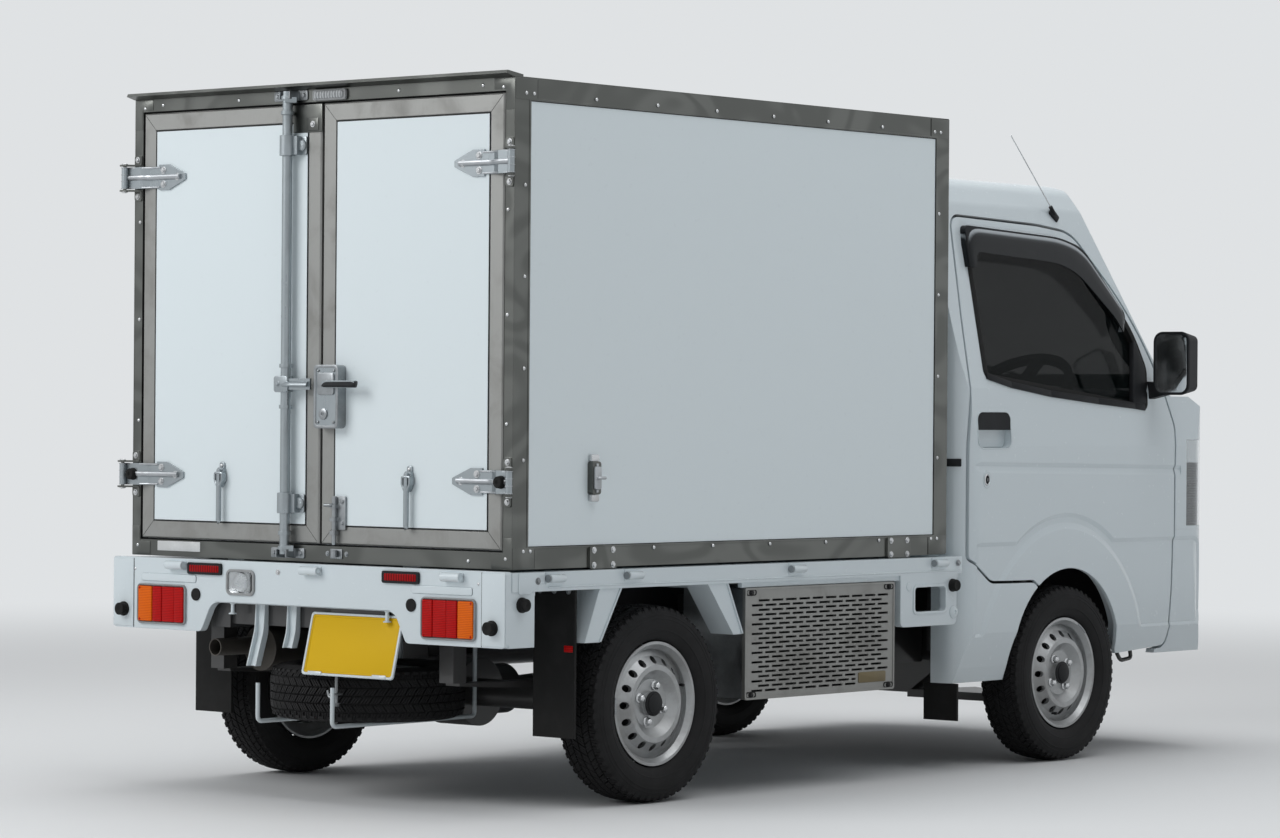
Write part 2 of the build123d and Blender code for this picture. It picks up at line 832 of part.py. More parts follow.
# smoked window visor: a thin shield held off the door, with its flange along the upper edge
visor_prism = side_prism(visor_outline, 0, 400, 900)
with BuildPart() as left_visor:
    add(window_band(visor_gap, visor_gap + visor_sheet))
    add(visor_prism, mode=Mode.INTERSECT)
with BuildPart() as visor_flange:
    add(window_band(seat_gap, visor_gap + visor_sheet))
    add(visor_prism, mode=Mode.INTERSECT)
    add(visor_prism.moved(Location((0, 0, -visor_flange_height))), mode=Mode.SUBTRACT)
with BuildPart() as left_fittings:
    add(left_trim.part)
    add(left_paddle.part)
    add(left_visor.part)
    add(visor_flange.part)

for name, door, pane, trim in (
    ("left", left_door, left_pane.part, left_fittings.part),
    ("right", mirrored(left_door), mirrored(left_pane.part), mirrored(left_fittings.part)),
):
    with BuildPart() as cab_door:
        add(door)
    cab_door.part.label = f"cab_door_{name}"
    export_step(cab_door.part, f"parts/cab_door_{name}.step")
    with BuildPart() as door_glass:
        add(pane)
    door_glass.part.label = f"door_glass_{name}"
    export_step(door_glass.part, f"parts/door_glass_{name}.step")
    with BuildPart() as door_trim:
        add(trim)
    door_trim.part.label = f"door_trim_{name}"
    export_step(door_trim.part, f"parts/door_trim_{name}.step")

print("bed")
bed_front_x = cab_back_x - 8
deck_low_z = deck_z - deck_thickness
side_panel_dx = 1044       # bed side panel by the cab, from the rear axle
arch_braces = [
    # side view outline of the two sheet braces over a rear wheel, x from the rear axle
    ((-260, 588), (-178, 588), (-262, 440), (-322, 440)),
    ((176, 588), (262, 588), (330, 440), (293, 440)),
]
with BuildPart() as bed_deck:
    with BuildSketch(Plane.XY.offset(deck_low_z)):
        with Locations(((rear_x + panel_depth + bed_front_x) / 2, 0)):
            Rectangle(bed_front_x - rear_x - panel_depth, 2 * bed_half_width - 8)
    extrude(amount=deck_thickness)
    # folded side rails
    with BuildSketch(Plane.YZ.offset(rear_x + panel_depth)):
        for side in (-1, 1):
            with Locations((side * (bed_half_width - 12), deck_z - bed_rail_depth / 2)):
                Rectangle(24, bed_rail_depth)
    extrude(amount=bed_front_x - rear_x - panel_depth)
    # cross sills down to the frame rails
    with BuildSketch(Plane.XY.offset(rail_high_z)):
        for dx in (-480, -150, 240, 640, 1040):
            with Locations((rear_axle_x + dx, 0)):
                Rectangle(50, 2 * bed_half_width - 120)
    extrude(amount=deck_low_z - rail_high_z)
    # braces beside the rear wheels
    for side in (-1, 1):
        with BuildSketch(Plane.XZ.offset(-side * (bed_half_width - 45))):
            for corners in arch_braces:
                with BuildLine():
                    Polyline(*[(rear_axle_x + dx, z) for dx, z in corners], close=True)
                make_face()
        extrude(amount=40, both=True)
        # side panel with its window by the cab
        with BuildSketch(Plane.XZ.offset(-side * (bed_half_width - 12))):
            with Locations((rear_axle_x + side_panel_dx + 136, 520)):
                RectangleRounded(272, 175, 18)
            with Locations((rear_axle_x + side_panel_dx + 141, 510)):
                RectangleRounded(156, 78, 14, mode=Mode.SUBTRACT)
        extrude(amount=12, both=True)
bed_deck.part.label = "bed_deck"
export_step(bed_deck.part, "parts/bed_deck.step")

panel_top_z = deck_z + 3
panel_half = [
    # y, z, radius
    (343, panel_mid_z, 40),
    (385, panel_low_z, 18),
    (bed_half_width - 2, panel_low_z, 14),
    (bed_half_width - 2, panel_top_z, 10),
]
lamp_y = 538
lamp_z = 506
lamp_width = 184
lamp_height = 102
reflector_y = 368
reflector_z = 608
reverse_y = 230
reverse_z = 575
with BuildPart() as bed_rear_panel:
    with BuildSketch(Plane.YZ.offset(rear_x)):
        with BuildLine():
            panel_corners = panel_half + [(-y, z, radius) for y, z, radius in reversed(panel_half)]
            rounded_line(panel_corners, 0)
        make_face()
        with Locations((-lamp_y, lamp_z), (lamp_y, lamp_z)):
            RectangleRounded(lamp_width, lamp_height, 14, mode=Mode.SUBTRACT)
        with Locations((reverse_y, reverse_z)):
            RectangleRounded(100, 62, 14, mode=Mode.SUBTRACT)
    extrude(amount=panel_depth)
    # the panel's ends fold forward along the sides
    with BuildSketch(Plane.XY.offset(panel_low_z)):
        for side in (-1, 1):
            with Locations((rear_x + 62, side * (bed_half_width - 12))):
                Rectangle(96, 20)
    extrude(amount=deck_z - bed_rail_depth - panel_low_z)
bed_rear_panel.part.label = "bed_rear_panel"
export_step(bed_rear_panel.part, "parts/bed_rear_panel.step")

with BuildPart() as tail_lamps:
    with BuildSketch(Plane.YZ.offset(rear_x - 8)):
        with Locations((-lamp_y, lamp_z), (lamp_y, lamp_z)):
            RectangleRounded(lamp_width - 2 * seat_gap, lamp_height - 2 * seat_gap, 14)
    extrude(amount=8 + panel_depth + 20)
    with BuildSketch(Plane.YZ.offset(rear_x - 4)):
        with Locations((reverse_y, reverse_z)):
            RectangleRounded(100 - 2 * seat_gap, 62 - 2 * seat_gap, 14)
    extrude(amount=4 + panel_depth)
    with BuildSketch(Plane.YZ.offset(rear_x - 9)):
        with Locations((-reflector_y, reflector_z), (reflector_y, reflector_z)):
            RectangleRounded(129, 28, 8)
    extrude(amount=9)
tail_lamps.part.label = "tail_lamps"
export_step(tail_lamps.part, "parts/tail_lamps.step")

print("box body")
box_side_x = box_rear_x + frame_depth
inner_half = box_half_width - box_wall
box_inner_x = box_front_x - box_wall
with BuildPart() as box_floor:
    with BuildSketch(Plane.XY.offset(box_bottom_z)):
        with Locations(((box_side_x + box_inner_x) / 2, 0)):
            Rectangle(box_inner_x - box_side_x, 2 * inner_half)
    extrude(amount=box_floor_depth)
    # packing strips between the box and the deck
    with BuildSketch(Plane.XY.offset(deck_z)):
        with Locations(((box_side_x + box_inner_x) / 2, -rail_y), ((box_side_x + box_inner_x) / 2, rail_y)):
            Rectangle(box_inner_x - box_side_x, 60)
    extrude(amount=box_bottom_z - deck_z)
box_floor.part.label = "box_floor"
export_step(box_floor.part, "parts/box_floor.step")

with BuildPart() as box_roof:
    with BuildSketch(Plane.XY.offset(box_top_z)):
        with Locations(((box_side_x + box_front_x) / 2, 0)):
            Rectangle(box_front_x - box_side_x, 2 * inner_half)
    extrude(amount=-box_wall)
box_roof.part.label = "box_roof"
export_step(box_roof.part, "parts/box_roof.step")

with BuildPart() as box_front:
    with BuildSketch(Plane.YZ.offset(box_front_x)):
        with Locations((0, (box_bottom_z + box_top_z - box_wall) / 2)):
            Rectangle(2 * inner_half, box_top_z - box_wall - box_bottom_z)
    extrude(amount=-box_wall)
box_front.part.label = "box_front"
export_step(box_front.part, "parts/box_front.step")

for name, side in (("left", 1), ("right", -1)):
    with BuildPart() as box_side:
        with BuildSketch(Plane.XY.offset(box_bottom_z)):
            with Locations(((box_side_x + box_front_x) / 2, side * (inner_half + box_wall / 2))):
                Rectangle(box_front_x - box_side_x, box_wall)
        extrude(amount=box_top_z - box_bottom_z)
    box_side.part.label = f"box_side_{name}"
    export_step(box_side.part, f"parts/box_side_{name}.step")

mount_plates = (-233, 1061)    # clamp plates to the bed, x from the rear axle
catch_dx = -273
catch_z = 870
box_length = box_front_x - box_rear_x
box_height = box_top_z - box_bottom_z
with BuildPart() as box_door_frame:
    with BuildSketch(Plane.YZ.offset(box_rear_x)):
        with Locations((0, (box_bottom_z + box_top_z) / 2)):
            Rectangle(2 * box_half_width, box_height)
        with Locations((0, (box_bottom_z + frame_foot + box_top_z - frame_head) / 2)):
            Rectangle(
                2 * box_half_width - 2 * frame_border,
                box_height - frame_foot - frame_head,
                mode=Mode.SUBTRACT,
            )
    extrude(amount=frame_depth)
    # drip cap along the rear edge
    with BuildSketch(Plane.XZ):
        with BuildLine():
            Polyline(
                (box_side_x, box_top_z),
                (box_side_x, box_top_z + 8),
                (box_rear_x - 30, box_top_z + 16),
                (box_rear_x - 34, box_top_z + 8),
                (box_rear_x - 2, box_top_z),
                close=True,
            )
        make_face()
    extrude(amount=box_half_width + trim_sheet, both=True)
    # hinge brackets with their pins
    for side in (-1, 1):
        for height in hinge_heights:
            for up in (-1, 1):
                with BuildSketch(Plane.XY.offset(height + up * (strap_height / 2 + 5))):
                    with BuildLine():
                        Polyline(
                            (box_rear_x, side * (box_half_width - 28)),
                            (hinge_pin_x - 6, side * (hinge_pin_y - 11)),
                            (hinge_pin_x - 10, side * (hinge_pin_y + 10)),
                            (hinge_pin_x + 10, side * (hinge_pin_y + 10)),
                            (box_rear_x, side * box_half_width),
                            (box_rear_x + 4, side * (box_half_width - 28)),
                            close=True,
                        )
                    make_face()
                extrude(amount=2.5, both=True)
                with BuildSketch(Plane.YZ.offset(box_rear_x)):
                    with Locations((side * (box_half_width - 14), height + up * (strap_height / 2 + 18))):
                        RectangleRounded(28, 32, 8)
                extrude(amount=-4)
            with BuildSketch(Plane.XY.offset(height - strap_height / 2 - 10)):
                with Locations((hinge_pin_x, side * hinge_pin_y)):
                    Circle(hinge_pin_radius)
            extrude(amount=strap_height + 20)
box_door_frame.part.label = "box_door_frame"
export_step(box_door_frame.part, "parts/box_door_frame.step")

with BuildPart() as box_trim:
    # corner and edge sheets, left and right
    for side in (-1, 1):
        with BuildSketch(Plane.XZ.offset(-side * (box_half_width + trim_sheet / 2))):
            with Locations(((box_rear_x + box_front_x) / 2, (box_bottom_z + box_top_z) / 2)):
                Rectangle(box_length, box_height)
                Rectangle(box_length - 2 * trim_width - 6, box_height - 2 * trim_width, mode=Mode.SUBTRACT)
        extrude(amount=trim_sheet / 2, both=True)
        # clamp plates and the catch for the open door
        with BuildSketch(Plane.XZ.offset(-side * (box_half_width + trim_sheet + 3))):
            for dx in mount_plates:
                with Locations((rear_axle_x + dx, deck_z + 31)):
                    RectangleRounded(108, 58, 8)
        extrude(amount=3, both=True)
        with BuildSketch(Plane.XZ.offset(-side * (box_half_width + 9))):
            with Locations((rear_axle_x + catch_dx, catch_z)):
                RectangleRounded(34, 86, 8)
        extrude(amount=9, both=True)
box_trim.part.label = "box_trim"
export_step(box_trim.part, "parts/box_trim.step")

with BuildPart() as evaporator:
    with BuildSketch(Plane.XZ):
        with BuildLine():
            front_face_x = box_inner_x
            ceiling_z = box_top_z - box_wall
            rounded_line(
                [
                    (front_face_x, ceiling_z - 240, 0),
                    (front_face_x, ceiling_z, 0),
                    (front_face_x - 260, ceiling_z, 0),
                    (front_face_x - 260, ceiling_z - 90, 25),
                    (front_face_x - 90, ceiling_z - 240, 25),
                ],
                0,
            )
        make_face()
    extrude(amount=380, both=True)
evaporator.part.label = "evaporator"
export_step(evaporator.part, "parts/evaporator.step")

# Rear doors: an outer leaf, the thicker plug behind it, the edge frame and the fittings
leaf_outer = box_half_width - frame_border - 5
leaf_low_z = box_bottom_z + frame_foot + 5
leaf_high_z = box_top_z - frame_head - 5
leaf_height = leaf_high_z - leaf_low_z
leaf_middle_z = (leaf_low_z + leaf_high_z) / 2
plug_low_z = box_bottom_z + box_floor_depth + 10
plug_high_z = box_top_z - box_wall - 10
plug_outer = inner_half - 10
for name, side, free_y in (("left", 1, seam_y + shut_gap / 2), ("right", -1, seam_y - shut_gap / 2)):
    leaf_centre = (side * leaf_outer + free_y) / 2
    leaf_width = abs(side * leaf_outer - free_y)
    plug_free = free_y + side * leaf_step
    plug_centre = (side * plug_outer + plug_free) / 2
    plug_width = abs(side * plug_outer - plug_free)
    leaf_plane = Plane(origin=(box_rear_x, leaf_centre, leaf_middle_z), x_dir=(0, 1, 0), z_dir=(1, 0, 0))
    with BuildPart() as door_edge:
        with BuildSketch(leaf_plane):
            Rectangle(leaf_width, leaf_height)
            Rectangle(leaf_width - 2 * edge_width, leaf_height - 2 * edge_width, mode=Mode.SUBTRACT)
        extrude(amount=leaf_depth)
        chamfer(door_edge.faces().sort_by(Axis.X)[0].edges(), edge_bevel)
    door_edge.part.label = f"door_edge_{name}"
    export_step(door_edge.part, f"parts/door_edge_{name}.step")

    with BuildPart() as box_door:
        with BuildSketch(leaf_plane):
            inner_cut = 2 * (edge_width + seat_gap)
            Rectangle(leaf_width - inner_cut, leaf_height - inner_cut)
        extrude(amount=leaf_depth)
        with BuildSketch(Plane.YZ.offset(box_rear_x + leaf_depth)):
            with Locations((plug_centre, (plug_low_z + plug_high_z) / 2)):
                Rectangle(plug_width, plug_high_z - plug_low_z)
        extrude(amount=plug_depth)
    box_door.part.label = f"box_door_{name}"
    export_step(box_door.part, f"parts/box_door_{name}.step")

    with BuildPart() as door_gear:
        for height in hinge_heights:
            # strap with its pointed leaf, stepped out to the barrel
            with BuildSketch(Plane.XY.offset(height - strap_height / 2)):
                with BuildLine():
                    Polyline(
                        (box_rear_x, side * 600),
                        (box_rear_x - 5, side * 600),
                        (box_rear_x - 5, side * 645),
                        (hinge_pin_x + 8, side * 672),
                        (hinge_pin_x + 8, side * hinge_pin_y),
                        (hinge_pin_x + 13, side * (hinge_pin_y - 10)),
                        (hinge_pin_x + 13, side * 674),
                        (box_rear_x, side * 648),
                        close=True,
                    )
                make_face()
            extrude(amount=strap_height)
            with BuildSketch(Plane.YZ.offset(box_rear_x)):
                with BuildLine():
                    Polyline(
                        (side * 610, height - 35),
                        (side * 570, height - 35),
                        (side * 505, height - 8),
                        (side * 505, height + 8),
                        (side * 570, height + 35),
                        (side * 610, height + 35),
                        close=True,
                    )
                make_face()
            extrude(amount=-5)
            with BuildSketch(Plane.XY.offset(height - strap_height / 2)):
                with Locations((hinge_pin_x, side * hinge_pin_y)):
                    Circle(hinge_barrel_radius)
            extrude(amount=strap_height)
            with BuildSketch(Plane.XY.offset(height - strap_height / 2 - 1)):
                with Locations((hinge_pin_x, side * hinge_pin_y)):
                    Circle(hinge_pin_radius + hub_gap)
            extrude(amount=strap_height + 2, mode=Mode.SUBTRACT)
        # stay hook
        with BuildSketch(Plane.YZ.offset(box_rear_x)):
            with Locations((side * 352, 862)):
                RectangleRounded(24, 44, 8)
        extrude(amount=-12)
        with BuildSketch(Plane.YZ.offset(box_rear_x - 12)):
            with Locations((side * 352, 810)):
                RectangleRounded(12, 140, 5)
        extrude(amount=-8)
        if name == "left":
            # lock tube, its two bearings and the lever as far as the seam
            with BuildSketch(Plane.XY.offset(655)):
                with Locations((lock_tube_x, lock_tube_y)):
                    Circle(lock_tube_radius)
            extrude(amount=1895 - 655)
            for height in (792, 1750):
                with BuildSketch(Plane.XY.offset(height - 25)):
                    with Locations((lock_tube_x, lock_tube_y)):
                        Circle(lock_tube_radius + 5)
                    with Locations(((lock_tube_x + box_rear_x) / 2, lock_tube_y - 14)):
                        Rectangle(box_rear_x - lock_tube_x, 44)
                extrude(amount=50)
            with BuildSketch(Plane.YZ.offset(lock_tube_x - 10)):
                with Locations(((lock_tube_y + free_y) / 2, 1111)):
                    Rectangle(lock_tube_y - free_y, 30)
            extrude(amount=-6)
            with BuildSketch(Plane.XY.offset(1090)):
                with Locations((lock_tube_x, lock_tube_y)):
                    Circle(lock_tube_radius + 6)
            extrude(amount=42)
        else:
            # lock box with its grip, and the slide bolt
            with BuildSketch(Plane.YZ.offset(box_rear_x)):
                with Locations((-69, 1078)):
                    RectangleRounded(86, 165, 12)
            extrude(amount=-30)
            with BuildSketch(Plane.YZ.offset(box_rear_x - 30)):
                with Locations((-125, 1111)):
                    RectangleRounded(120, 20, 9)
            extrude(amount=-14)
            with BuildSketch(Plane.YZ.offset(box_rear_x)):
                with Locations((-97, 769)):
                    Rectangle(43, 82)
            extrude(amount=-5)
            with BuildSketch(Plane.XY.offset(684)):
                with Locations((box_rear_x - 11, -84)):
                    Circle(6)
            extrude(amount=120)
    door_gear.part.label = f"door_gear_{name}"
    export_step(door_gear.part, f"parts/door_gear_{name}.step")

print("cooling unit")
unit_rear_dx = 344
unit_front_dx = 1012
unit_low_z = 262
unit_high_z = 562
unit_depth = 212
unit_wall = 16
unit_x = rear_axle_x + (unit_rear_dx + unit_front_dx) / 2
unit_z = (unit_low_z + unit_high_z) / 2
unit_length = unit_front_dx - unit_rear_dx
unit_height = unit_high_z - unit_low_z
core_inset = 60        # the finned core lies this far behind the grille
with BuildPart() as condenser_housing:
    with BuildSketch(Plane.XZ.offset(bed_half_width - 12)):
        with Locations((unit_x, unit_z)):
            Rectangle(unit_length, unit_height)
    extrude(amount=-unit_depth)
    with BuildSketch(Plane.XZ.offset(bed_half_width - 12)):
        with Locations((unit_x, unit_z)):
            Rectangle(unit_length - 2 * unit_wall, unit_height - 2 * unit_wall)
    extrude(amount=-core_inset, mode=Mode.SUBTRACT)
    with BuildSketch(Plane.XY.offset(unit_high_z)):
        with Locations(
            (rear_axle_x + unit_rear_dx + 60, -bed_half_width + 140),
            (rear_axle_x + unit_front_dx - 60, -bed_half_width + 140),
        ):
            Rectangle(40, 180)
    extrude(amount=deck_low_z - unit_high_z)
condenser_housing.part.label = "condenser_housing"
export_step(condenser_housing.part, "parts/condenser_housing.step")

slot_length = 48
slot_height = 6
slot_pitch = 60
row_pitch = 13
slots_in_row = 10
row_pairs = 10
badge_length = 150     # bare plate in the lower front corner, where the slots stop
with BuildPart() as condenser_grille:
    with BuildSketch(Plane.XZ.offset(bed_half_width - 12)):
        with Locations((unit_x, unit_z)):
            Rectangle(unit_length + 8, unit_height + 4)
        # staggered rows of slots
        for shift, lift in ((-slot_pitch / 4, -row_pitch / 2), (slot_pitch / 4, row_pitch / 2)):
            with Locations((unit_x + shift, unit_z - 6 + lift)):
                with GridLocations(slot_pitch, 2 * row_pitch, slots_in_row, row_pairs):
                    Rectangle(slot_length, slot_height, mode=Mode.SUBTRACT)
        with Locations((unit_x + unit_length / 2 - 24 - badge_length / 2, unit_z - unit_height / 2 + 36)):
            Rectangle(badge_length, 40)
    extrude(amount=10)
condenser_grille.part.label = "condenser_grille"
export_step(condenser_grille.part, "parts/condenser_grille.step")

print("chassis")
rail_rear_x = rear_x + panel_depth + 10
rail_front_x = front_axle_x + 760
step_low_z = footwell_z - sheet - rail_step
rear_tube_radius = 38
spring_y = 430
spring_rear_dx = -500
spring_front_dx = 530
with BuildPart() as chassis_frame:
    with BuildSketch(Plane.YZ.offset(rail_rear_x)):
        with Locations((-rail_y, (rail_low_z + rail_high_z) / 2), (rail_y, (rail_low_z + rail_high_z) / 2)):
            Rectangle(rail_width, rail_high_z - rail_low_z)
    extrude(amount=footwell_x - 60 - rail_rear_x)
    # the rails step down under the footwell
    with BuildSketch(Plane.YZ.offset(footwell_x - 160)):
        for side in (-1, 1):
            with Locations((side * rail_y, footwell_z - sheet)):
                Rectangle(rail_width, rail_step, align=(Align.CENTER, Align.MAX))
    extrude(amount=rail_front_x - footwell_x + 160)
    with BuildSketch(Plane.YZ.offset(footwell_x - 160)):
        for side in (-1, 1):
            with Locations((side * rail_y, step_low_z)):
                Rectangle(rail_width, rail_low_z - step_low_z + 20, align=(Align.CENTER, Align.MIN))
    extrude(amount=80)
    with BuildSketch(Plane.XY.offset(rail_low_z + 10)):
        for x in (rail_rear_x + 40, rear_axle_x - 100, rear_axle_x + 420, rear_axle_x + 1120):
            with Locations((x, 0)):
                Rectangle(60, 2 * rail_y)
    extrude(amount=70)
    with BuildSketch(Plane.XY.offset(step_low_z)):
        for x in (front_axle_x + 250, rail_front_x - 40):
            with Locations((x, 0)):
                Rectangle(60, 2 * rail_y)
    extrude(amount=50)
    # mounts under the cab
    with BuildSketch(Plane.XY.offset(rail_high_z)):
        for side in (-1, 1):
            for x in (cab_back_x + 70, front_axle_x + 170):
                with Locations((x, side * rail_y)):
                    Circle(26)
    extrude(amount=platform_z - sheet - rail_high_z)
    # spring hangers
    with BuildSketch(Plane.XY.offset(330)):
        for side in (-1, 1):
            for dx in (spring_rear_dx, spring_front_dx):
                with Locations((rear_axle_x + dx, side * spring_y)):
                    Rectangle(50, 50)
    extrude(amount=150)
    with BuildSketch(Plane.XY.offset(rail_low_z + 30)):
        for side in (-1, 1):
            for dx in (spring_rear_dx, spring_front_dx):
                with Locations((rear_axle_x + dx, side * (rail_y + spring_y + 25) / 2)):
                    Rectangle(50, spring_y + 25 - rail_y)
    extrude(amount=50)
chassis_frame.part.label = "chassis_frame"
export_step(chassis_frame.part, "parts/chassis_frame.step")

engine_front_dx = -70
engine_rear_dx = -520
drum_radius = 116
drum_face = 20         # brake drum's outer face, from the wheel's middle
dish_face = 40
stub_tip = dish_face - seat_gap
with BuildPart() as rear_axle:
    with BuildSketch(Plane.XZ):
        with Locations((rear_axle_x, axle_z)):
            Circle(rear_tube_radius)
    extrude(amount=rear_track / 2 - 60, both=True)
    with BuildSketch(Plane.XZ):
        with Locations((rear_axle_x, axle_z)):
            Circle(94)
    extrude(amount=70, both=True)
    with BuildSketch(Plane.YZ.offset(rear_axle_x)):
        with Locations((0, axle_z)):
            Circle(70)
    extrude(amount=170)
    # propeller shaft up to the back of the engine
    with BuildSketch(Plane.YZ.offset(rear_axle_x + 165)):
        with Locations((0, axle_z)):
            Circle(30)
    with BuildSketch(Plane.YZ.offset(front_axle_x + engine_rear_dx - seat_gap)):
        with Locations((0, 320)):
            Circle(30)
    loft()
    for side in (-1, 1):
        with BuildSketch(Plane.XZ.offset(-side * (rear_track / 2 - 60))):
            with Locations((rear_axle_x, axle_z)):
                Circle(drum_radius)
        extrude(amount=-side * 80)
        with BuildSketch(Plane.XZ.offset(-side * (rear_track / 2 + drum_face - 5))):
            with Locations((rear_axle_x, axle_z)):
                Circle(stub_radius)
        extrude(amount=-side * (stub_tip - drum_face + 5))
rear_axle.part.label = "rear_axle"
export_step(rear_axle.part, "parts/rear_axle.step")

with BuildPart() as engine_block:
    with BuildSketch(Plane.XZ):
        with Locations((front_axle_x + (engine_front_dx + engine_rear_dx) / 2, 430)):
            Rectangle(engine_front_dx - engine_rear_dx, 300)
    extrude(amount=230, both=True)
    # mounting feet against the frame rails
    with BuildSketch(Plane.XZ):
        for dx in (engine_front_dx - 60, engine_rear_dx + 60):
            with Locations((front_axle_x + dx, 510)):
                Rectangle(60, 40)
    extrude(amount=rail_y - rail_width / 2 - seat_gap, both=True)
engine_block.part.label = "engine_block"
export_step(engine_block.part, "parts/engine_block.step")

leaf_gap = rear_tube_radius + seat_gap
leaf_count_depth = 22
with BuildPart() as leaf_springs:
    for side in (-1, 1):
        with BuildSketch(Plane.XZ.offset(-side * spring_y)):
            with BuildLine():
                lower = ThreePointArc(
                    (rear_axle_x - 500, 330 - 8),
                    (rear_axle_x, axle_z + leaf_gap),
                    (rear_axle_x + 530, 330 - 8),
                )
                upper = ThreePointArc(
                    (rear_axle_x - 500, 330),
                    (rear_axle_x, axle_z + leaf_gap + leaf_count_depth),
                    (rear_axle_x + 530, 330),
                )
                Line(lower @ 0, upper @ 0)
                Line(lower @ 1, upper @ 1)
            make_face()
        extrude(amount=25, both=True)
leaf_springs.part.label = "leaf_springs"
export_step(leaf_springs.part, "parts/leaf_springs.step")

arm_z = 190
strut_top_z = platform_z - floor_sheet - seat_gap
pivot_radius = 12
pivot_length = 40
ball_top_z = 372
with BuildPart() as front_suspension:
    # crossmember with the two lower arms
    with BuildSketch(Plane.YZ.offset(front_axle_x - 35)):
        with BuildLine():
            Polyline(
                (-rail_y - 27, 400),
                (rail_y + 27, 400),
                (rail_y + 27, 330),
                (150, 180),
                (-150, 180),
                (-rail_y - 27, 330),
                close=True,
            )
        make_face()
    extrude(amount=70)
    for side in (-1, 1):
        with BuildSketch(Plane.XY.offset(arm_z)):
            with BuildLine():
                Polyline(
                    (front_axle_x - 35, side * 150),
                    (front_axle_x + 200, side * 240),
                    (front_axle_x + 22, side * (kingpin_y + 10)),
                    (front_axle_x - 22, side * (kingpin_y + 10)),
                    close=True,
                )
            make_face()
        extrude(amount=-24)
        with BuildSketch(Plane.XY.offset(arm_z)):
            with Locations((front_axle_x, side * kingpin_y)):
                Circle(pivot_radius)
        extrude(amount=pivot_length)
        # seats of the crossmember under the frame rails
        with BuildSketch(Plane.XY.offset(395)):
            with Locations((front_axle_x, side * rail_y)):
                Rectangle(70, 50)
        extrude(amount=rail_low_z - seat_gap - 395)
front_suspension.part.label = "front_suspension"
export_step(front_suspension.part, "parts/front_suspension.step")

for name, side in (("left", 1), ("right", -1)):
    with BuildPart() as knuckle:
        # upright on the kingpin axis, reaching out to the wheel
        with BuildSketch(Plane.XZ.offset(-side * (kingpin_y - 20))):
            with Locations((front_axle_x, (arm_z + 26 + ball_top_z - 6) / 2)):
                RectangleRounded(60, ball_top_z - 6 - arm_z - 26, 20)
        extrude(amount=-side * 62)
        with BuildSketch(Plane.XY.offset(arm_z + 20)):
            with Locations((front_axle_x, side * kingpin_y)):
                Circle(pivot_radius + seat_gap)
        extrude(amount=pivot_length - 15, mode=Mode.SUBTRACT)
        # the strut turns with the knuckle, in its bearing under the seat platform
        with BuildSketch(Plane.XY.offset(ball_top_z - 26)):
            with Locations((front_axle_x, side * kingpin_y)):
                Circle(strut_radius)
        extrude(amount=strut_top_z - ball_top_z + 26)
        with BuildSketch(Plane.XZ.offset(-side * (kingpin_y + 42))):
            with Locations((front_axle_x, axle_z)):
                Circle(drum_radius)
        extrude(amount=-side * (front_track / 2 + drum_face - kingpin_y - 42))
        with BuildSketch(Plane.XZ.offset(-side * (front_track / 2 + drum_face - 5))):
            with Locations((front_axle_x, axle_z)):
                Circle(stub_radius)
        extrude(amount=-side * (stub_tip - drum_face + 5))
    knuckle.part.label = f"knuckle_{name}"
    export_step(knuckle.part, f"parts/knuckle_{name}.step")

muffler_y = 350
muffler_z = 385
pipe_y = 200
with BuildPart() as exhaust:
    with BuildSketch(Plane.YZ.offset(rear_axle_x - 440)):
        with Locations((muffler_y, muffler_z)):
            Circle(62)
    extrude(amount=300)
    with BuildSketch(Plane.YZ.offset(rear_axle_x - 590)):
        with Locations((muffler_y + 22, muffler_z + 8)):
            Circle(24)
            Circle(21, mode=Mode.SUBTRACT)
    extrude(amount=160)
    with BuildLine():
        FilletPolyline(
            (rear_axle_x - 150, muffler_y - 20, muffler_z + 20),
            (rear_axle_x - 30, muffler_y - 20, muffler_z + 20),
            (rear_axle_x + 160, pipe_y, muffler_z + 20),
            (front_axle_x + engine_rear_dx - seat_gap, pipe_y, muffler_z + 20),
            radius=120,
        )
    with BuildSketch(Plane.YZ.offset(rear_axle_x - 150)):
        with Locations((muffler_y - 20, muffler_z + 20)):
            Circle(20)
    sweep()
exhaust.part.label = "exhaust"
export_step(exhaust.part, "parts/exhaust.step")

with BuildPart() as fuel_tank:
    with BuildSketch(Plane.YZ.offset(rear_axle_x + 350)):
        with Locations((575, 400)):
            RectangleRounded(230, 230, 40)
    extrude(amount=520)
    with BuildSketch(Plane.XY.offset(510)):
        for dx in (450, 770):
            with Locations((rear_axle_x + dx, 560)):
                Rectangle(30, 120)
    extrude(amount=deck_low_z - 510)
fuel_tank.part.label = "fuel_tank"
export_step(fuel_tank.part, "parts/fuel_tank.step")

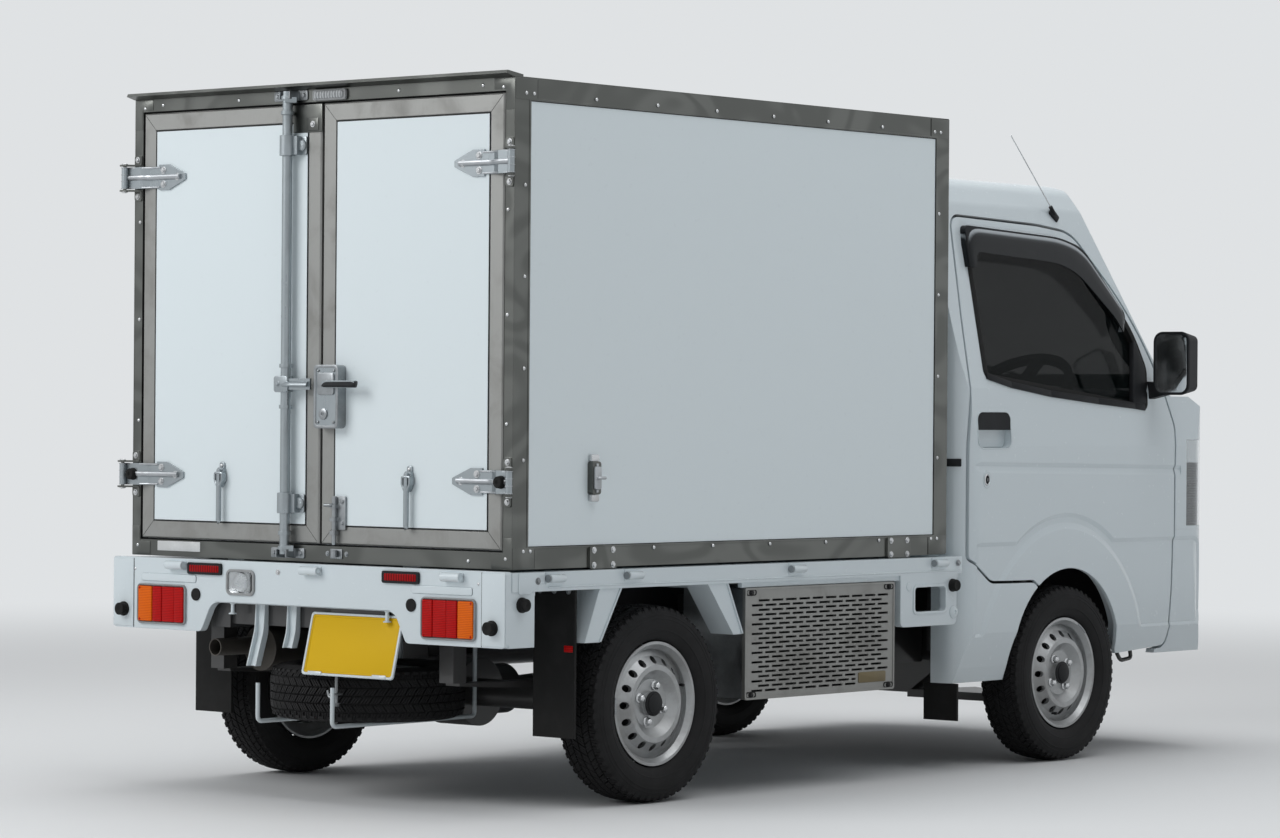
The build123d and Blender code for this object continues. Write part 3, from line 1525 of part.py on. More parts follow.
stop_radius = 17
with BuildPart() as rubber_parts:
    for side in (-1, 1):
        # flaps behind the wheels
        with BuildSketch(Plane.YZ.offset(rear_axle_x - 339)):
            with Locations((side * 640, (190 + deck_low_z - seat_gap) / 2)):
                Rectangle(144, deck_low_z - seat_gap - 190)
        extrude(amount=8)
        with BuildSketch(Plane.YZ.offset(cab_back_x + 8)):
            with Locations((side * 650, (147 + 255.7) / 2)):
                Rectangle(120, 255.7 - 147)
        extrude(amount=8)
        # stops for the folding bed sides, and blanking plugs
        with BuildSketch(Plane.YZ.offset(rear_x - seat_gap)):
            with Locations((side * 690, 488)):
                Circle(stop_radius)
        extrude(amount=-18)
        with BuildSketch(Plane.YZ.offset(rear_x - seat_gap)):
            with Locations((side * 404, 537)):
                Circle(stop_radius)
        extrude(amount=-3)
        with BuildSketch(Plane.XZ.offset(-side * (bed_half_width - 2 + seat_gap))):
            with Locations((rear_x + 60, 547)):
                Circle(stop_radius)
        extrude(amount=-side * 16)
        with BuildSketch(Plane.XZ.offset(-side * (bed_half_width + seat_gap))):
            with Locations((rear_axle_x + side_panel_dx + 250, 547)):
                Circle(stop_radius)
        extrude(amount=-side * 16)
rubber_parts.part.label = "rubber_parts"
export_step(rubber_parts.part, "parts/rubber_parts.step")

print("wheels")
half = rim_width / 2
rim_section = [
    # along the axle from the wheel's middle (outwards positive), radius from the axle
    (half, flange_radius),
    (half - 5, flange_radius),
    (half - 12, rim_radius),
    (10, rim_radius),
    (-2, rim_radius - 22),
    (-30, rim_radius - 22),
    (-44, rim_radius),
    (-half + 12, rim_radius),
    (-half + 5, flange_radius),
    (-half, flange_radius),
    (-half, flange_radius - 6),
    (-half + 8, rim_radius - rim_wall),
    (-46, rim_radius - rim_wall),
    (-34, rim_radius - 22 - rim_wall),
    (2, rim_radius - 22 - rim_wall),
    (12, rim_radius - 14 - rim_wall),
    (22, rim_radius - 14 - rim_wall),
    (34, dish_radius + 24),
    (half - 2, dish_radius + 4),
    (half - 2, dish_radius - 4),
    (34, dish_radius - 22),
    (32, stub_radius + hub_gap),
    (40, stub_radius + hub_gap),
    (40, dish_radius - 30),
    (half + 4, dish_radius - 6),
    (half + 4, dish_radius + 8),
    (40, dish_radius + 32),
    (30, rim_radius - rim_wall),
    (half - 14, rim_radius - rim_wall),
    (half, flange_radius - 8),
]
tyre_section = [
    # along the axle, radius, corner radius
    (half - 5.3, flange_radius + 2, 0),
    (tyre_width / 2 - 6, flange_radius + 22, 8),
    (tyre_width / 2, (flange_radius + tyre_radius) / 2 - 2, 30),
    (tyre_width / 2 - 8, tyre_radius - 14, 14),
    (tyre_width / 2 - 20, tyre_radius - 3, 10),
    (0, tyre_radius, 0),
]

section_plane = Plane(origin=(0, 0, 0), x_dir=(0, 1, 0), z_dir=(1, 0, 0))
face_plane = Plane(origin=(0, 0, 0), x_dir=(1, 0, 0), z_dir=(0, 1, 0))

with BuildPart() as left_rim:
    with BuildSketch(section_plane):
        with BuildLine():
            Polyline(*rim_section, close=True)
        make_face()
    revolve(axis=Axis.Y)
    with BuildSketch(face_plane.offset(10)):
        with PolarLocations(wheel_hole_circle, wheel_hole_count):
            Circle(wheel_hole_radius)
    extrude(amount=half, mode=Mode.SUBTRACT)
    with BuildSketch(face_plane.offset(dish_face)):
        Circle(32)
    extrude(amount=half - 46)

bead = rim_radius + seat_gap
tyre_inside = [
    # along the axle, radius, corner radius
    (half - 12.3, bead, 0),
    (half - 22, bead, 0),
    (tyre_width / 2 - tyre_wall, (flange_radius + tyre_radius) / 2, 20),
    (tyre_width / 2 - 22, tyre_radius - 14, 10),
]
tyre_corners = tyre_section + [(-a, r, c) for a, r, c in reversed(tyre_section[:-1])]
tyre_corners += [(-a, r, c) for a, r, c in tyre_inside] + list(reversed(tyre_inside))
with BuildPart() as left_tyre:
    with BuildSketch(section_plane):
        with BuildLine():
            rounded_line(tyre_corners, 0)
        make_face()
    revolve(axis=Axis.Y)

wheel_places = [
    # name, x, track, side
    ("front_left", front_axle_x, front_track, 1),
    ("front_right", front_axle_x, front_track, -1),
    ("rear_left", rear_axle_x, rear_track, 1),
    ("rear_right", rear_axle_x, rear_track, -1),
]
for name, x, track, side in wheel_places:
    with BuildPart() as rim:
        add(Pos(x, track / 2, axle_z) * left_rim.part)
        if side < 0:
            mirror(about=Plane.XZ, mode=Mode.REPLACE)
    rim.part.label = f"rim_{name}"
    export_step(rim.part, f"parts/rim_{name}.step")
    with BuildPart() as tyre:
        add(Pos(x, track / 2, axle_z) * left_tyre.part)
        if side < 0:
            mirror(about=Plane.XZ, mode=Mode.REPLACE)
    tyre.part.label = f"tyre_{name}"
    export_step(tyre.part, f"parts/tyre_{name}.step")

spare_x = rear_axle_x - 374
spare_z = 285
with BuildPart() as spare_wheel:
    add(Pos(spare_x, 0, spare_z) * Rot(-90, 0, 0) * left_tyre.part)
    add(Pos(spare_x, 0, spare_z) * Rot(-90, 0, 0) * left_rim.part)
spare_wheel.part.label = "spare_wheel"
export_step(spare_wheel.part, "parts/spare_wheel.step")

carrier_radius = 6
tyre_side = left_tyre.part.bounding_box().max.Y
carrier_z = spare_z - tyre_side - carrier_radius - seat_gap
with BuildPart() as spare_carrier:
    for side in (-1, 1):
        with BuildLine():
            FilletPolyline(
                (rear_axle_x - 100, side * 140, rail_low_z + 10),
                (rear_axle_x - 100, side * 140, carrier_z),
                (spare_x - tyre_radius - 14, side * 140, carrier_z),
                (spare_x - tyre_radius - 14, side * 140, spare_z + 25),
                radius=14,
            )
        with BuildSketch(Plane.XY.offset(rail_low_z + 10)):
            with Locations((rear_axle_x - 100, side * 140)):
                Circle(carrier_radius)
        sweep()
spare_carrier.part.label = "spare_carrier"
export_step(spare_carrier.part, "parts/spare_carrier.step")

plate_y = -190
plate_length = 330
plate_top_z = 503
plate_low_z = 342
plate_lean = 40        # how much further to the rear the lower edge is
plate_sheet = 3
plate_tab = 200
plate_face_x = rear_x + panel_depth + seat_gap
with BuildPart() as rear_plate:
    # its tab behind the bed's rear panel, then the leaning plate
    for width, high_dx, high_z, low_dx, low_z in (
        (plate_tab, 0, plate_top_z + 57, 0, plate_top_z),
        (plate_length, 0, plate_top_z, -plate_lean, plate_low_z),
    ):
        with BuildSketch(Plane.XZ.offset(-plate_y)):
            with BuildLine():
                Polyline(
                    (plate_face_x + high_dx, high_z),
                    (plate_face_x + low_dx, low_z),
                    (plate_face_x + low_dx + plate_sheet, low_z),
                    (plate_face_x + high_dx + plate_sheet, high_z),
                    close=True,
                )
            make_face()
        extrude(amount=width / 2, both=True)
rear_plate.part.label = "rear_plate"
export_step(rear_plate.part, "parts/rear_plate.step")

# curved channels under the tail, bolted to the last cross member of the frame
arm_web = 4
arm_width = 36
arm_face_x = rail_rear_x + 10 - seat_gap
with BuildPart() as tail_arms:
    for y, low_z, reach in ((183, 352, 28), (62, 405, 12)):
        outline = [
            # x, z, radius
            (arm_face_x, 520, 0),
            (arm_face_x, 440, 90),
            (arm_face_x - reach, low_z, 0),
            (arm_face_x - reach - 20, low_z, 0),
            (arm_face_x - 18, 450, 110),
            (arm_face_x - 14, 520, 0),
        ]
        with BuildSketch(Plane.XZ.offset(-y)):
            with BuildLine():
                rounded_line(outline, 0)
            make_face()
        extrude(amount=arm_width / 2, both=True)
        with BuildSketch(Plane.XZ.offset(-y)):
            with BuildLine():
                rounded_line([(x - 2 * arm_web, z, radius) for x, z, radius in outline], 0)
            make_face()
        extrude(amount=arm_width / 2 - arm_web, both=True, mode=Mode.SUBTRACT)
tail_arms.part.label = "tail_arms"
export_step(tail_arms.part, "parts/tail_arms.step")
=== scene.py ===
import json
from math import atan2, cos, degrees, exp, hypot, pi, radians, sin, tan
import bmesh
import bpy
from mathutils import Euler, Matrix, Vector


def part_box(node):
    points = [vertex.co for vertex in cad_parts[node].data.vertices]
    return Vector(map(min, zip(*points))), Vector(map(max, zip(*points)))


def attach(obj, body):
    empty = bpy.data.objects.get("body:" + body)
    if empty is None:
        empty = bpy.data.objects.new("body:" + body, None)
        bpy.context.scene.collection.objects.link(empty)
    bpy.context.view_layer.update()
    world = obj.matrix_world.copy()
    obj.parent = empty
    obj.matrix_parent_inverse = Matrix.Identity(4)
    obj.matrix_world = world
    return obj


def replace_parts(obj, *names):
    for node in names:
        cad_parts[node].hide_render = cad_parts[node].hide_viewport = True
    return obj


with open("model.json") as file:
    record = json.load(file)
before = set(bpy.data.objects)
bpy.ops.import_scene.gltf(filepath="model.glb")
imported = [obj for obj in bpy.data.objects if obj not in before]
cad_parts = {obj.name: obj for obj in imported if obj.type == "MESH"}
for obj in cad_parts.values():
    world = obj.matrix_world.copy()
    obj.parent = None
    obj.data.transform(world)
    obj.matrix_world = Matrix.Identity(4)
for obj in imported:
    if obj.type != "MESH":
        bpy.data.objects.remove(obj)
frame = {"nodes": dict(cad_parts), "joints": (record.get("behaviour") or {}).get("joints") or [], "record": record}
bpy.context.view_layer.update()
nodes = frame["nodes"]
mm = 0.001


def nodeBox(name):
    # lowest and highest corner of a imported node, in millimetres
    low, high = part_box(name)
    return Vector(low) / mm, Vector(high) / mm


jointPlace = {joint["name"]: Vector(joint["pos_m"]) / mm for joint in frame["joints"]}
rearAxleX = jointPlace["wheel_rear_left_spin"].x
frontAxleX = jointPlace["wheel_front_left_spin"].x


# materials: arithmetic on a Wire adds Math nodes
class Wire:
    def __init__(self, finish, socket):
        self.finish, self.socket = finish, socket

    def calc(self, operation, first, second=0.0):
        return self.finish.node("Math", {"operation": operation}, {0: first, 1: second})

    def __add__(self, other):
        return self.calc("ADD", self, other)

    __radd__ = __add__

    def __mul__(self, other):
        return self.calc("MULTIPLY", self, other)

    __rmul__ = __mul__

    def __sub__(self, other):
        return self.calc("SUBTRACT", self, other)

    def __rsub__(self, other):
        return self.calc("SUBTRACT", other, self)

    def over(self, edge, soft):
        # 0 below the edge, 1 once past it by soft
        return self.finish.node("MapRange", {"clamp": True, "interpolation_type": "SMOOTHSTEP"},
                                {"Value": self, "From Min": edge, "From Max": edge + soft})


class Finish:
    def __init__(self, name):
        self.material = bpy.data.materials.new(name)
        self.material.use_nodes = True
        self.tree = self.material.node_tree
        self.tree.nodes.clear()
        self.place = self.node("TexCoord", out="Object")

    def node(self, kind, settings=None, sockets=None, out=0):
        made = self.tree.nodes.new("ShaderNode" + kind)
        for key, value in (settings or {}).items():
            setattr(made, key, value)
        for key, value in (sockets or {}).items():
            socket = made.inputs[key]
            if isinstance(value, Wire):
                self.tree.links.new(value.socket, socket)
            elif isinstance(value, tuple) and len(value) == 3 and socket.type == "RGBA":
                socket.default_value = (*value, 1)
            else:
                socket.default_value = value
        return Wire(self, made.outputs[out]) if len(made.outputs) else None

    def axis(self, letter):
        return self.node("SeparateXYZ", None, {0: self.place}, out=letter)

    def stretched(self, scale):
        return self.node("Mapping", None, {"Vector": self.place, "Scale": scale})

    def noise(self, scale, detail=3.0, rough=0.5, place=None, warp=0.0):
        return self.node("TexNoise", None, {"Vector": place or self.place, "Scale": scale, "Detail": detail,
                                            "Roughness": rough, "Distortion": warp})

    def blend(self, factor, first, second):
        return self.node("Mix", {"data_type": "RGBA", "clamp_factor": True},
                         {0: factor, 6: first, 7: second}, out=2)

    def bump(self, height, depth, strength=1.0, normal=None):
        sockets = {"Height": height, "Distance": depth, "Strength": strength}
        if normal:
            sockets["Normal"] = normal
        return self.node("Bump", None, sockets)

    def rounded(self, radius):
        return self.node("Bevel", {"samples": 4}, {"Radius": radius})

    def surface(self, colour, rough, metal=0.0, normal=None, **fixed):
        sockets = {"Base Color": colour, "Roughness": rough, "Metallic": metal}
        if normal:
            sockets["Normal"] = normal
        names = {"coat": "Coat Weight", "coatRough": "Coat Roughness", "clear": "Transmission Weight",
                 "ior": "IOR", "sheen": "Sheen Weight", "shine": "Specular IOR Level", "alpha": "Alpha"}
        for key, value in fixed.items():
            sockets[names[key]] = value
        shader = self.node("BsdfPrincipled", None, sockets)
        self.node("OutputMaterial", None, {"Surface": shader})
        return self.material


def roadGrime(look, base, dirt, low, high, amount):
    # dust that thickens towards the ground, broken up by noise
    height = look.axis("Z")
    fade = 1 - height.over(low, high - low)
    patches = look.noise(9.0, 3.0, 0.5)
    return look.blend(fade * (0.7 + 0.3 * patches) * amount, base, dirt)


def paintedSteel(name, colour, shade, rough, grime=0.5, coat=0.5, shine=0.5):
    # gloss paint: faint specks, orange peel, thin road film low down
    look = Finish(name)
    specks = look.noise(60.0, 2.0).over(0.66, 0.1)
    tone = look.blend(specks * 0.25, colour, shade)
    tone = roadGrime(look, tone, (0.30, 0.29, 0.27), 0.15, 0.6, grime * 0.5)
    peel = look.noise(420.0, 1.0)
    normal = look.bump(peel, 0.00002, 0.15, look.rounded(0.003))
    return look.surface(tone, rough + 0.03 * specks, normal=normal, coat=coat, coatRough=0.14,
                        shine=shine)


def moulded(name, colour, rough, grain, depth):
    # grained black or grey plastic, paler where it has weathered
    look = Finish(name)
    fade = look.noise(14.0, 5.0, 0.6)
    worn = tuple(min(1.0, part * 1.5 + 0.006) for part in colour)
    tone = look.blend(fade.over(0.4, 0.4) * 0.6, colour, worn)
    tone = roadGrime(look, tone, (0.05, 0.048, 0.045), 0.05, 0.5, 0.15)
    leather = look.node("TexVoronoi", {"feature": "SMOOTH_F1"}, {"Vector": look.place, "Scale": grain})
    normal = look.bump(leather, depth, 0.5, look.rounded(0.0015))
    return look.surface(tone, rough + 0.12 * fade, normal=normal, shine=0.12)


def glossBlack(name, colour, rough):
    # smoked acrylic: a thin film of dust, and a painted highlight where it faces up
    look = Finish(name)
    dust = look.noise(18.0, 3.0, 0.6).over(0.45, 0.4)
    tone = look.blend(dust * 0.2, colour, (0.04, 0.042, 0.045))
    # painted highlight: faces turned up are blended towards pale grey, standing in for the sky's reflection along
    # the visor's top
    facing = look.node("SeparateXYZ", None, {0: look.node("NewGeometry", out="Normal")}, out="Z")
    tone = look.blend(facing.over(0.28, 0.2) * 0.85, tone, (0.46, 0.50, 0.53))
    return look.surface(tone, rough + 0.05 * dust, shine=0.22)


def polishedSheet(name, colour, dark, rough):
    # bright rolled sheet: its slow waves show as light and dark bands along it, painted into the colour as
    # reflection
    look = Finish(name)
    waves = look.noise(2.6, 1.0, 0.4, look.stretched((1.0, 1.0, 1.4)), 1.2)
    # painted reflection: the colour swings between the dark and the bright tone in bands that follow the waves
    paintedReflectionBands = look.node("Math", {"operation": "SINE"}, {0: waves * 24.0})
    tone = look.blend(paintedReflectionBands.over(-1.0, 2.0) * 0.6, dark, colour)
    tone = roadGrime(look, tone, (0.16, 0.15, 0.135), 0.2, 0.7, 0.2)
    lines = look.noise(260.0, 2.0, 0.6, look.stretched((1.0, 1.0, 0.03)))
    return look.surface(tone, rough + 0.06 * lines, 1.0, look.bump(waves, 0.002, 0.2, look.rounded(0.0015)))


def brushedMetal(name, colour, stain, rough, run, metal=1.0, grime=0.5, spangle=0.0):
    # drawn sheet: fine lines along one axis, water stains and dust on top
    look = Finish(name)
    lines = look.noise(260.0, 3.0, 0.7, look.stretched(run))
    stains = look.noise(7.0, 6.0, 0.62, None, 0.4).over(0.42, 0.3)
    tone = look.blend(stains * 0.8, colour, stain)
    if spangle:
        flakes = look.node("TexVoronoi", None, {"Vector": look.place, "Scale": 110.0}, out="Color")
        grey = look.node("SeparateXYZ", None, {0: flakes}, out="X")
        tone = look.blend(grey * spangle, tone, stain)
    tone = roadGrime(look, tone, (0.16, 0.15, 0.135), 0.2, 0.7, grime * 0.5)
    gloss = rough + 0.18 * (lines - 0.5) + 0.22 * stains
    normal = look.bump(lines, 0.00008, 0.35, look.rounded(0.0015))
    return look.surface(tone, gloss, metal - 0.25 * stains, normal=normal)


def tintedGlass(name, tint, opacity):
    # window glass: sees straight through, a little less where a dust film lies
    look = Finish(name)
    film = look.noise(3.0, 2.0).over(0.45, 0.35)
    return look.surface(look.blend(film * 0.3, tint, (0.03, 0.034, 0.034)), 0.02, shine=0.08,
                        alpha=opacity + 0.02 * film)


def pane(name, tint, film):
    # clear sheet whose tint varies a little with the film on it
    look = Finish(name)
    tone = look.blend(look.noise(5.0, 2.0).over(0.4, 0.4) * 0.5, tint, film)
    return look.surface(tone, 0.0, clear=1.0, ior=1.46)


def lensPlastic(name, colour, deep, ribs, run):
    # coloured lens with moulded ribs behind a smooth face
    look = Finish(name)
    across = look.axis(run) * ribs
    wave = look.node("Math", {"operation": "SINE"}, {0: across})
    tone = look.blend(wave * 0.5 + 0.5, colour, deep)
    return look.surface(tone, 0.28, normal=look.bump(wave, 0.0004, 0.4), shine=0.1)


def lampShell(name, bright, dark, split):
    # back of the headlamp: bright reflector above the split, dark ribs below it
    look = Finish(name)
    height = look.axis("Z")
    upper = height.over(split, 0.004)
    ribs = look.node("Math", {"operation": "SINE"}, {0: height * 800.0})
    low = look.blend((ribs * 0.5 + 0.5) * 0.6, dark, (0.10, 0.112, 0.118))
    return look.surface(look.blend(upper, low, bright), 0.3 - 0.12 * upper, 0.2 + 0.7 * upper,
                        look.bump(ribs * (1 - upper), 0.001, 0.5))


def wovenCloth(name, colour, thread):
    # plain weave: weft and warp waves cross, with paler flecks in the thread
    look = Finish(name)
    weft = look.node("Math", {"operation": "SINE"}, {0: look.axis("X") * 3400.0 + look.axis("Z") * 1500.0})
    warp = look.node("Math", {"operation": "SINE"}, {0: look.axis("Y") * 3400.0})
    weave = weft * warp
    flecks = look.noise(300.0, 2.0).over(0.5, 0.2)
    tone = look.blend(flecks * 0.6, colour, thread)
    tone = look.blend(weave.over(0.2, 0.6) * 0.5, tone, thread)
    return look.surface(tone, 0.85, normal=look.bump(weave, 0.0006, 0.6), sheen=0.35)


finishes = {
    "white": paintedSteel("white_enamel", (0.67, 0.745, 0.78), (0.60, 0.655, 0.68), 0.26, 0.45),
    "panel": paintedSteel("white_gelcoat", (0.77, 0.85, 0.88), (0.70, 0.77, 0.80), 0.30, 0.25),
    # stainless: its second, darker colour is the dark side of the painted reflection bands
    "stainless": polishedSheet("stainless_sheet", (0.185, 0.19, 0.18), (0.12, 0.124, 0.117), 0.26),
    "aluminium": brushedMetal("satin_aluminium", (0.30, 0.302, 0.292), (0.24, 0.238, 0.226), 0.46,
                              (1.0, 1.0, 0.04), 0.75),
    "zinc": brushedMetal("zinc_plate", (0.34, 0.36, 0.375), (0.21, 0.22, 0.225), 0.33, (1.0, 0.2, 1.0),
                         0.95, 0.3, 0.3),
    "zincTube": brushedMetal("blue_zinc", (0.35, 0.385, 0.405), (0.29, 0.32, 0.335), 0.29, (1.0, 1.0, 0.01),
                             1.0, 0.15),
    "blackPlastic": moulded("black_plastic", (0.018, 0.019, 0.021), 0.42, 900.0, 0.0003),
    "rubber": moulded("black_rubber", (0.013, 0.013, 0.013), 0.55, 500.0, 0.0003),
    "tyre": moulded("tyre_rubber", (0.014, 0.014, 0.015), 0.58, 350.0, 0.0004),
    "wheelSilver": brushedMetal("wheel_silver", (0.44, 0.455, 0.465), (0.31, 0.31, 0.31), 0.34,
                                (1.0, 1.0, 1.0), 0.8, 0.55, 0.25),
    "glass": tintedGlass("window_glass", (0.003, 0.005, 0.005), 0.66),
    "screenGlass": tintedGlass("windscreen_glass", (0.008, 0.011, 0.011), 0.55),
    "lampRed": lensPlastic("red_lens", (0.56, 0.006, 0.006), (0.30, 0.002, 0.002), 1400.0, "Z"),
    "lampAmber": lensPlastic("amber_lens", (0.86, 0.17, 0.006), (0.62, 0.09, 0.004), 1400.0, "Z"),
    "lampClear": pane("clear_lens", (0.93, 0.95, 0.96), (0.90, 0.92, 0.93)),
    "lampShell": lampShell("headlamp_shell", (0.55, 0.57, 0.58), (0.03, 0.035, 0.038), 0.895),
    "smoked": glossBlack("smoked_acrylic", (0.010, 0.012, 0.014), 0.05),
    "bronze": brushedMetal("bronze_plate", (0.17, 0.135, 0.07), (0.11, 0.09, 0.05), 0.4, (1.0, 0.2, 1.0),
                           0.7, 0.3),
    "chassisBlack": paintedSteel("chassis_black", (0.016, 0.016, 0.017), (0.028, 0.026, 0.024), 0.5, 0.25),
    "cloth": wovenCloth("seat_cloth", (0.055, 0.06, 0.07), (0.12, 0.125, 0.14)),
    "dash": moulded("dash_grey", (0.05, 0.053, 0.058), 0.55, 700.0, 0.0003),
    "dark": moulded("dark_recess", (0.008, 0.008, 0.009), 0.6, 700.0, 0.0002),
    "chrome": brushedMetal("bright_zinc", (0.62, 0.63, 0.64), (0.45, 0.45, 0.45), 0.22, (1.0, 1.0, 1.0),
                           1.0, 0.15),
    "zincBright": brushedMetal("rubbed_zinc", (0.46, 0.48, 0.50), (0.32, 0.33, 0.34), 0.34, (1.0, 0.2, 1.0),
                               0.95, 0.2),
    "greyPlastic": moulded("grey_bezel", (0.30, 0.31, 0.315), 0.4, 900.0, 0.0002),
    "reflector": lensPlastic("red_reflector", (0.42, 0.004, 0.006), (0.10, 0.001, 0.002), 700.0, "Y"),
    "plateYellow": paintedSteel("plate_yellow", (0.72, 0.45, 0.012), (0.66, 0.40, 0.01), 0.45,
                                0.05, 0.0, 0.1),
    "coreDark": brushedMetal("fin_aluminium", (0.10, 0.105, 0.11), (0.05, 0.05, 0.05), 0.5, (1.0, 1.0, 0.2),
                             0.8, 0.6),
    "lensWhite": lensPlastic("led_lens", (0.50, 0.52, 0.53), (0.22, 0.23, 0.24), 620.0, "Y"),
    "exhaust": brushedMetal("exhaust_steel", (0.07, 0.063, 0.056), (0.035, 0.028, 0.022), 0.5,
                            (1.0, 1.0, 1.0), 0.7, 0.8),
    "paper": moulded("blank_label", (0.62, 0.63, 0.63), 0.5, 300.0, 0.0001),
    "sealant": moulded("sealant", (0.02, 0.02, 0.021), 0.5, 600.0, 0.0001),
    "mirror": brushedMetal("mirror_glass", (0.78, 0.80, 0.81), (0.74, 0.76, 0.77), 0.03, (1.0, 1.0, 1.0),
                           1.0, 0.05),
}

slotFinish = {
    "white_paint": "white", "white_panel": "panel", "stainless_trim": "stainless",
    "edge_aluminium": "aluminium", "galvanised": "zinc", "black_plastic": "blackPlastic",
    "rubber": "rubber", "tyre": "tyre", "wheel_silver": "wheelSilver", "window_glass": "glass",
    "lamp_red": "lampRed", "lamp_clear": "lampClear", "chassis_black": "chassisBlack",
    "seat_cloth": "cloth", "dash_grey": "dash", "plate_yellow": "plateYellow",
}
for part in frame["record"]["subparts"]:
    target = nodes[part["node"]]
    for index in range(len(target.material_slots)):
        target.material_slots[index].material = finishes[slotFinish[part["material_slot"]]]
for name, finish in (("cab_glass", "screenGlass"), ("exhaust", "exhaust"), ("door_gear_left", "zincTube"),
                     ("door_gear_right", "zincTube")):
    for slot in nodes[name].material_slots:
        slot.material = finishes[finish]
print("finishes on the packed nodes")


# mesh building, in millimetres
def spread(a, b, level, axis):
    # a point of a section at that level along an axis
    return {"X": (level, a, b), "Y": (a, level, b), "Z": (a, b, level)}[axis]


def turned(x=0.0, y=0.0, z=0.0):
    return Euler((radians(x), radians(y), radians(z))).to_matrix()


def curved(corners, steps=6):
    # closed outline from (a, b, radius) corners
    outline = []
    for index, (a, b, radius) in enumerate(corners):
        corner = Vector((a, b))
        if not radius:
            outline.append((a, b))
            continue
        before = (Vector(corners[index - 1][:2]) - corner).normalized()
        after = (Vector(corners[(index + 1) % len(corners)][:2]) - corner).normalized()
        half = before.angle(after) / 2
        middle = corner + (before + after).normalized() * (radius / sin(half))
        first = corner + before * (radius / tan(half)) - middle
        last = corner + after * (radius / tan(half)) - middle
        sweep = first.angle_signed(last)
        for step in range(steps + 1):
            angle = -sweep * step / steps
            outline.append((middle.x + first.x * cos(angle) - first.y * sin(angle),
                            middle.y + first.x * sin(angle) + first.y * cos(angle)))
    return outline


def softBox(a, b, width, height, radius):
    # outline of a rectangle with rounded corners, by its centre
    w, h = width / 2, height / 2
    return curved([(a - w, b - h, radius), (a + w, b - h, radius),
                   (a + w, b + h, radius), (a - w, b + h, radius)])


def box(low, high):
    # outline of a rectangle by two of its corners
    return [low, (high[0], low[1]), high, (low[0], high[1])]


def grown(outline, amount):
    # closed outline moved outwards by amount, point for point
    count = len(outline)
    area = sum(outline[i - 1][0] * outline[i][1] - outline[i][0] * outline[i - 1][1] for i in range(count))
    turn = 1 if area > 0 else -1
    moved = []
    for i in range(count):
        into = (Vector(outline[i]) - Vector(outline[i - 1])).normalized()
        out = (Vector(outline[(i + 1) % count]) - Vector(outline[i])).normalized()
        side = (Vector((into.y, -into.x)) + Vector((out.y, -out.x))).normalized() * turn
        lean = max(0.4, side.dot(Vector((out.y, -out.x)) * turn))
        moved.append((outline[i][0] + side.x * amount / lean, outline[i][1] + side.y * amount / lean))
    return moved


def bent(path, radius, steps=5):
    # open path with its corners rounded
    path = [Vector(point) for point in path]
    smooth = [path[0]]
    for before, corner, after in zip(path, path[1:], path[2:]):
        back, on = before - corner, after - corner
        reach = min(radius, back.length * 0.49, on.length * 0.49)
        start, end = corner + back.normalized() * reach, corner + on.normalized() * reach
        for step in range(steps + 1):
            part = step / steps
            smooth.append(start * (1 - part) ** 2 + corner * 2 * part * (1 - part) + end * part ** 2)
    return smooth + [path[-1]]


def strips(rows, count):
    # quads between rows of as many points, closed round
    return [(row * count + i, row * count + (i + 1) % count, (row + 1) * count + (i + 1) % count,
             (row + 1) * count + i) for row in range(rows - 1) for i in range(count)]


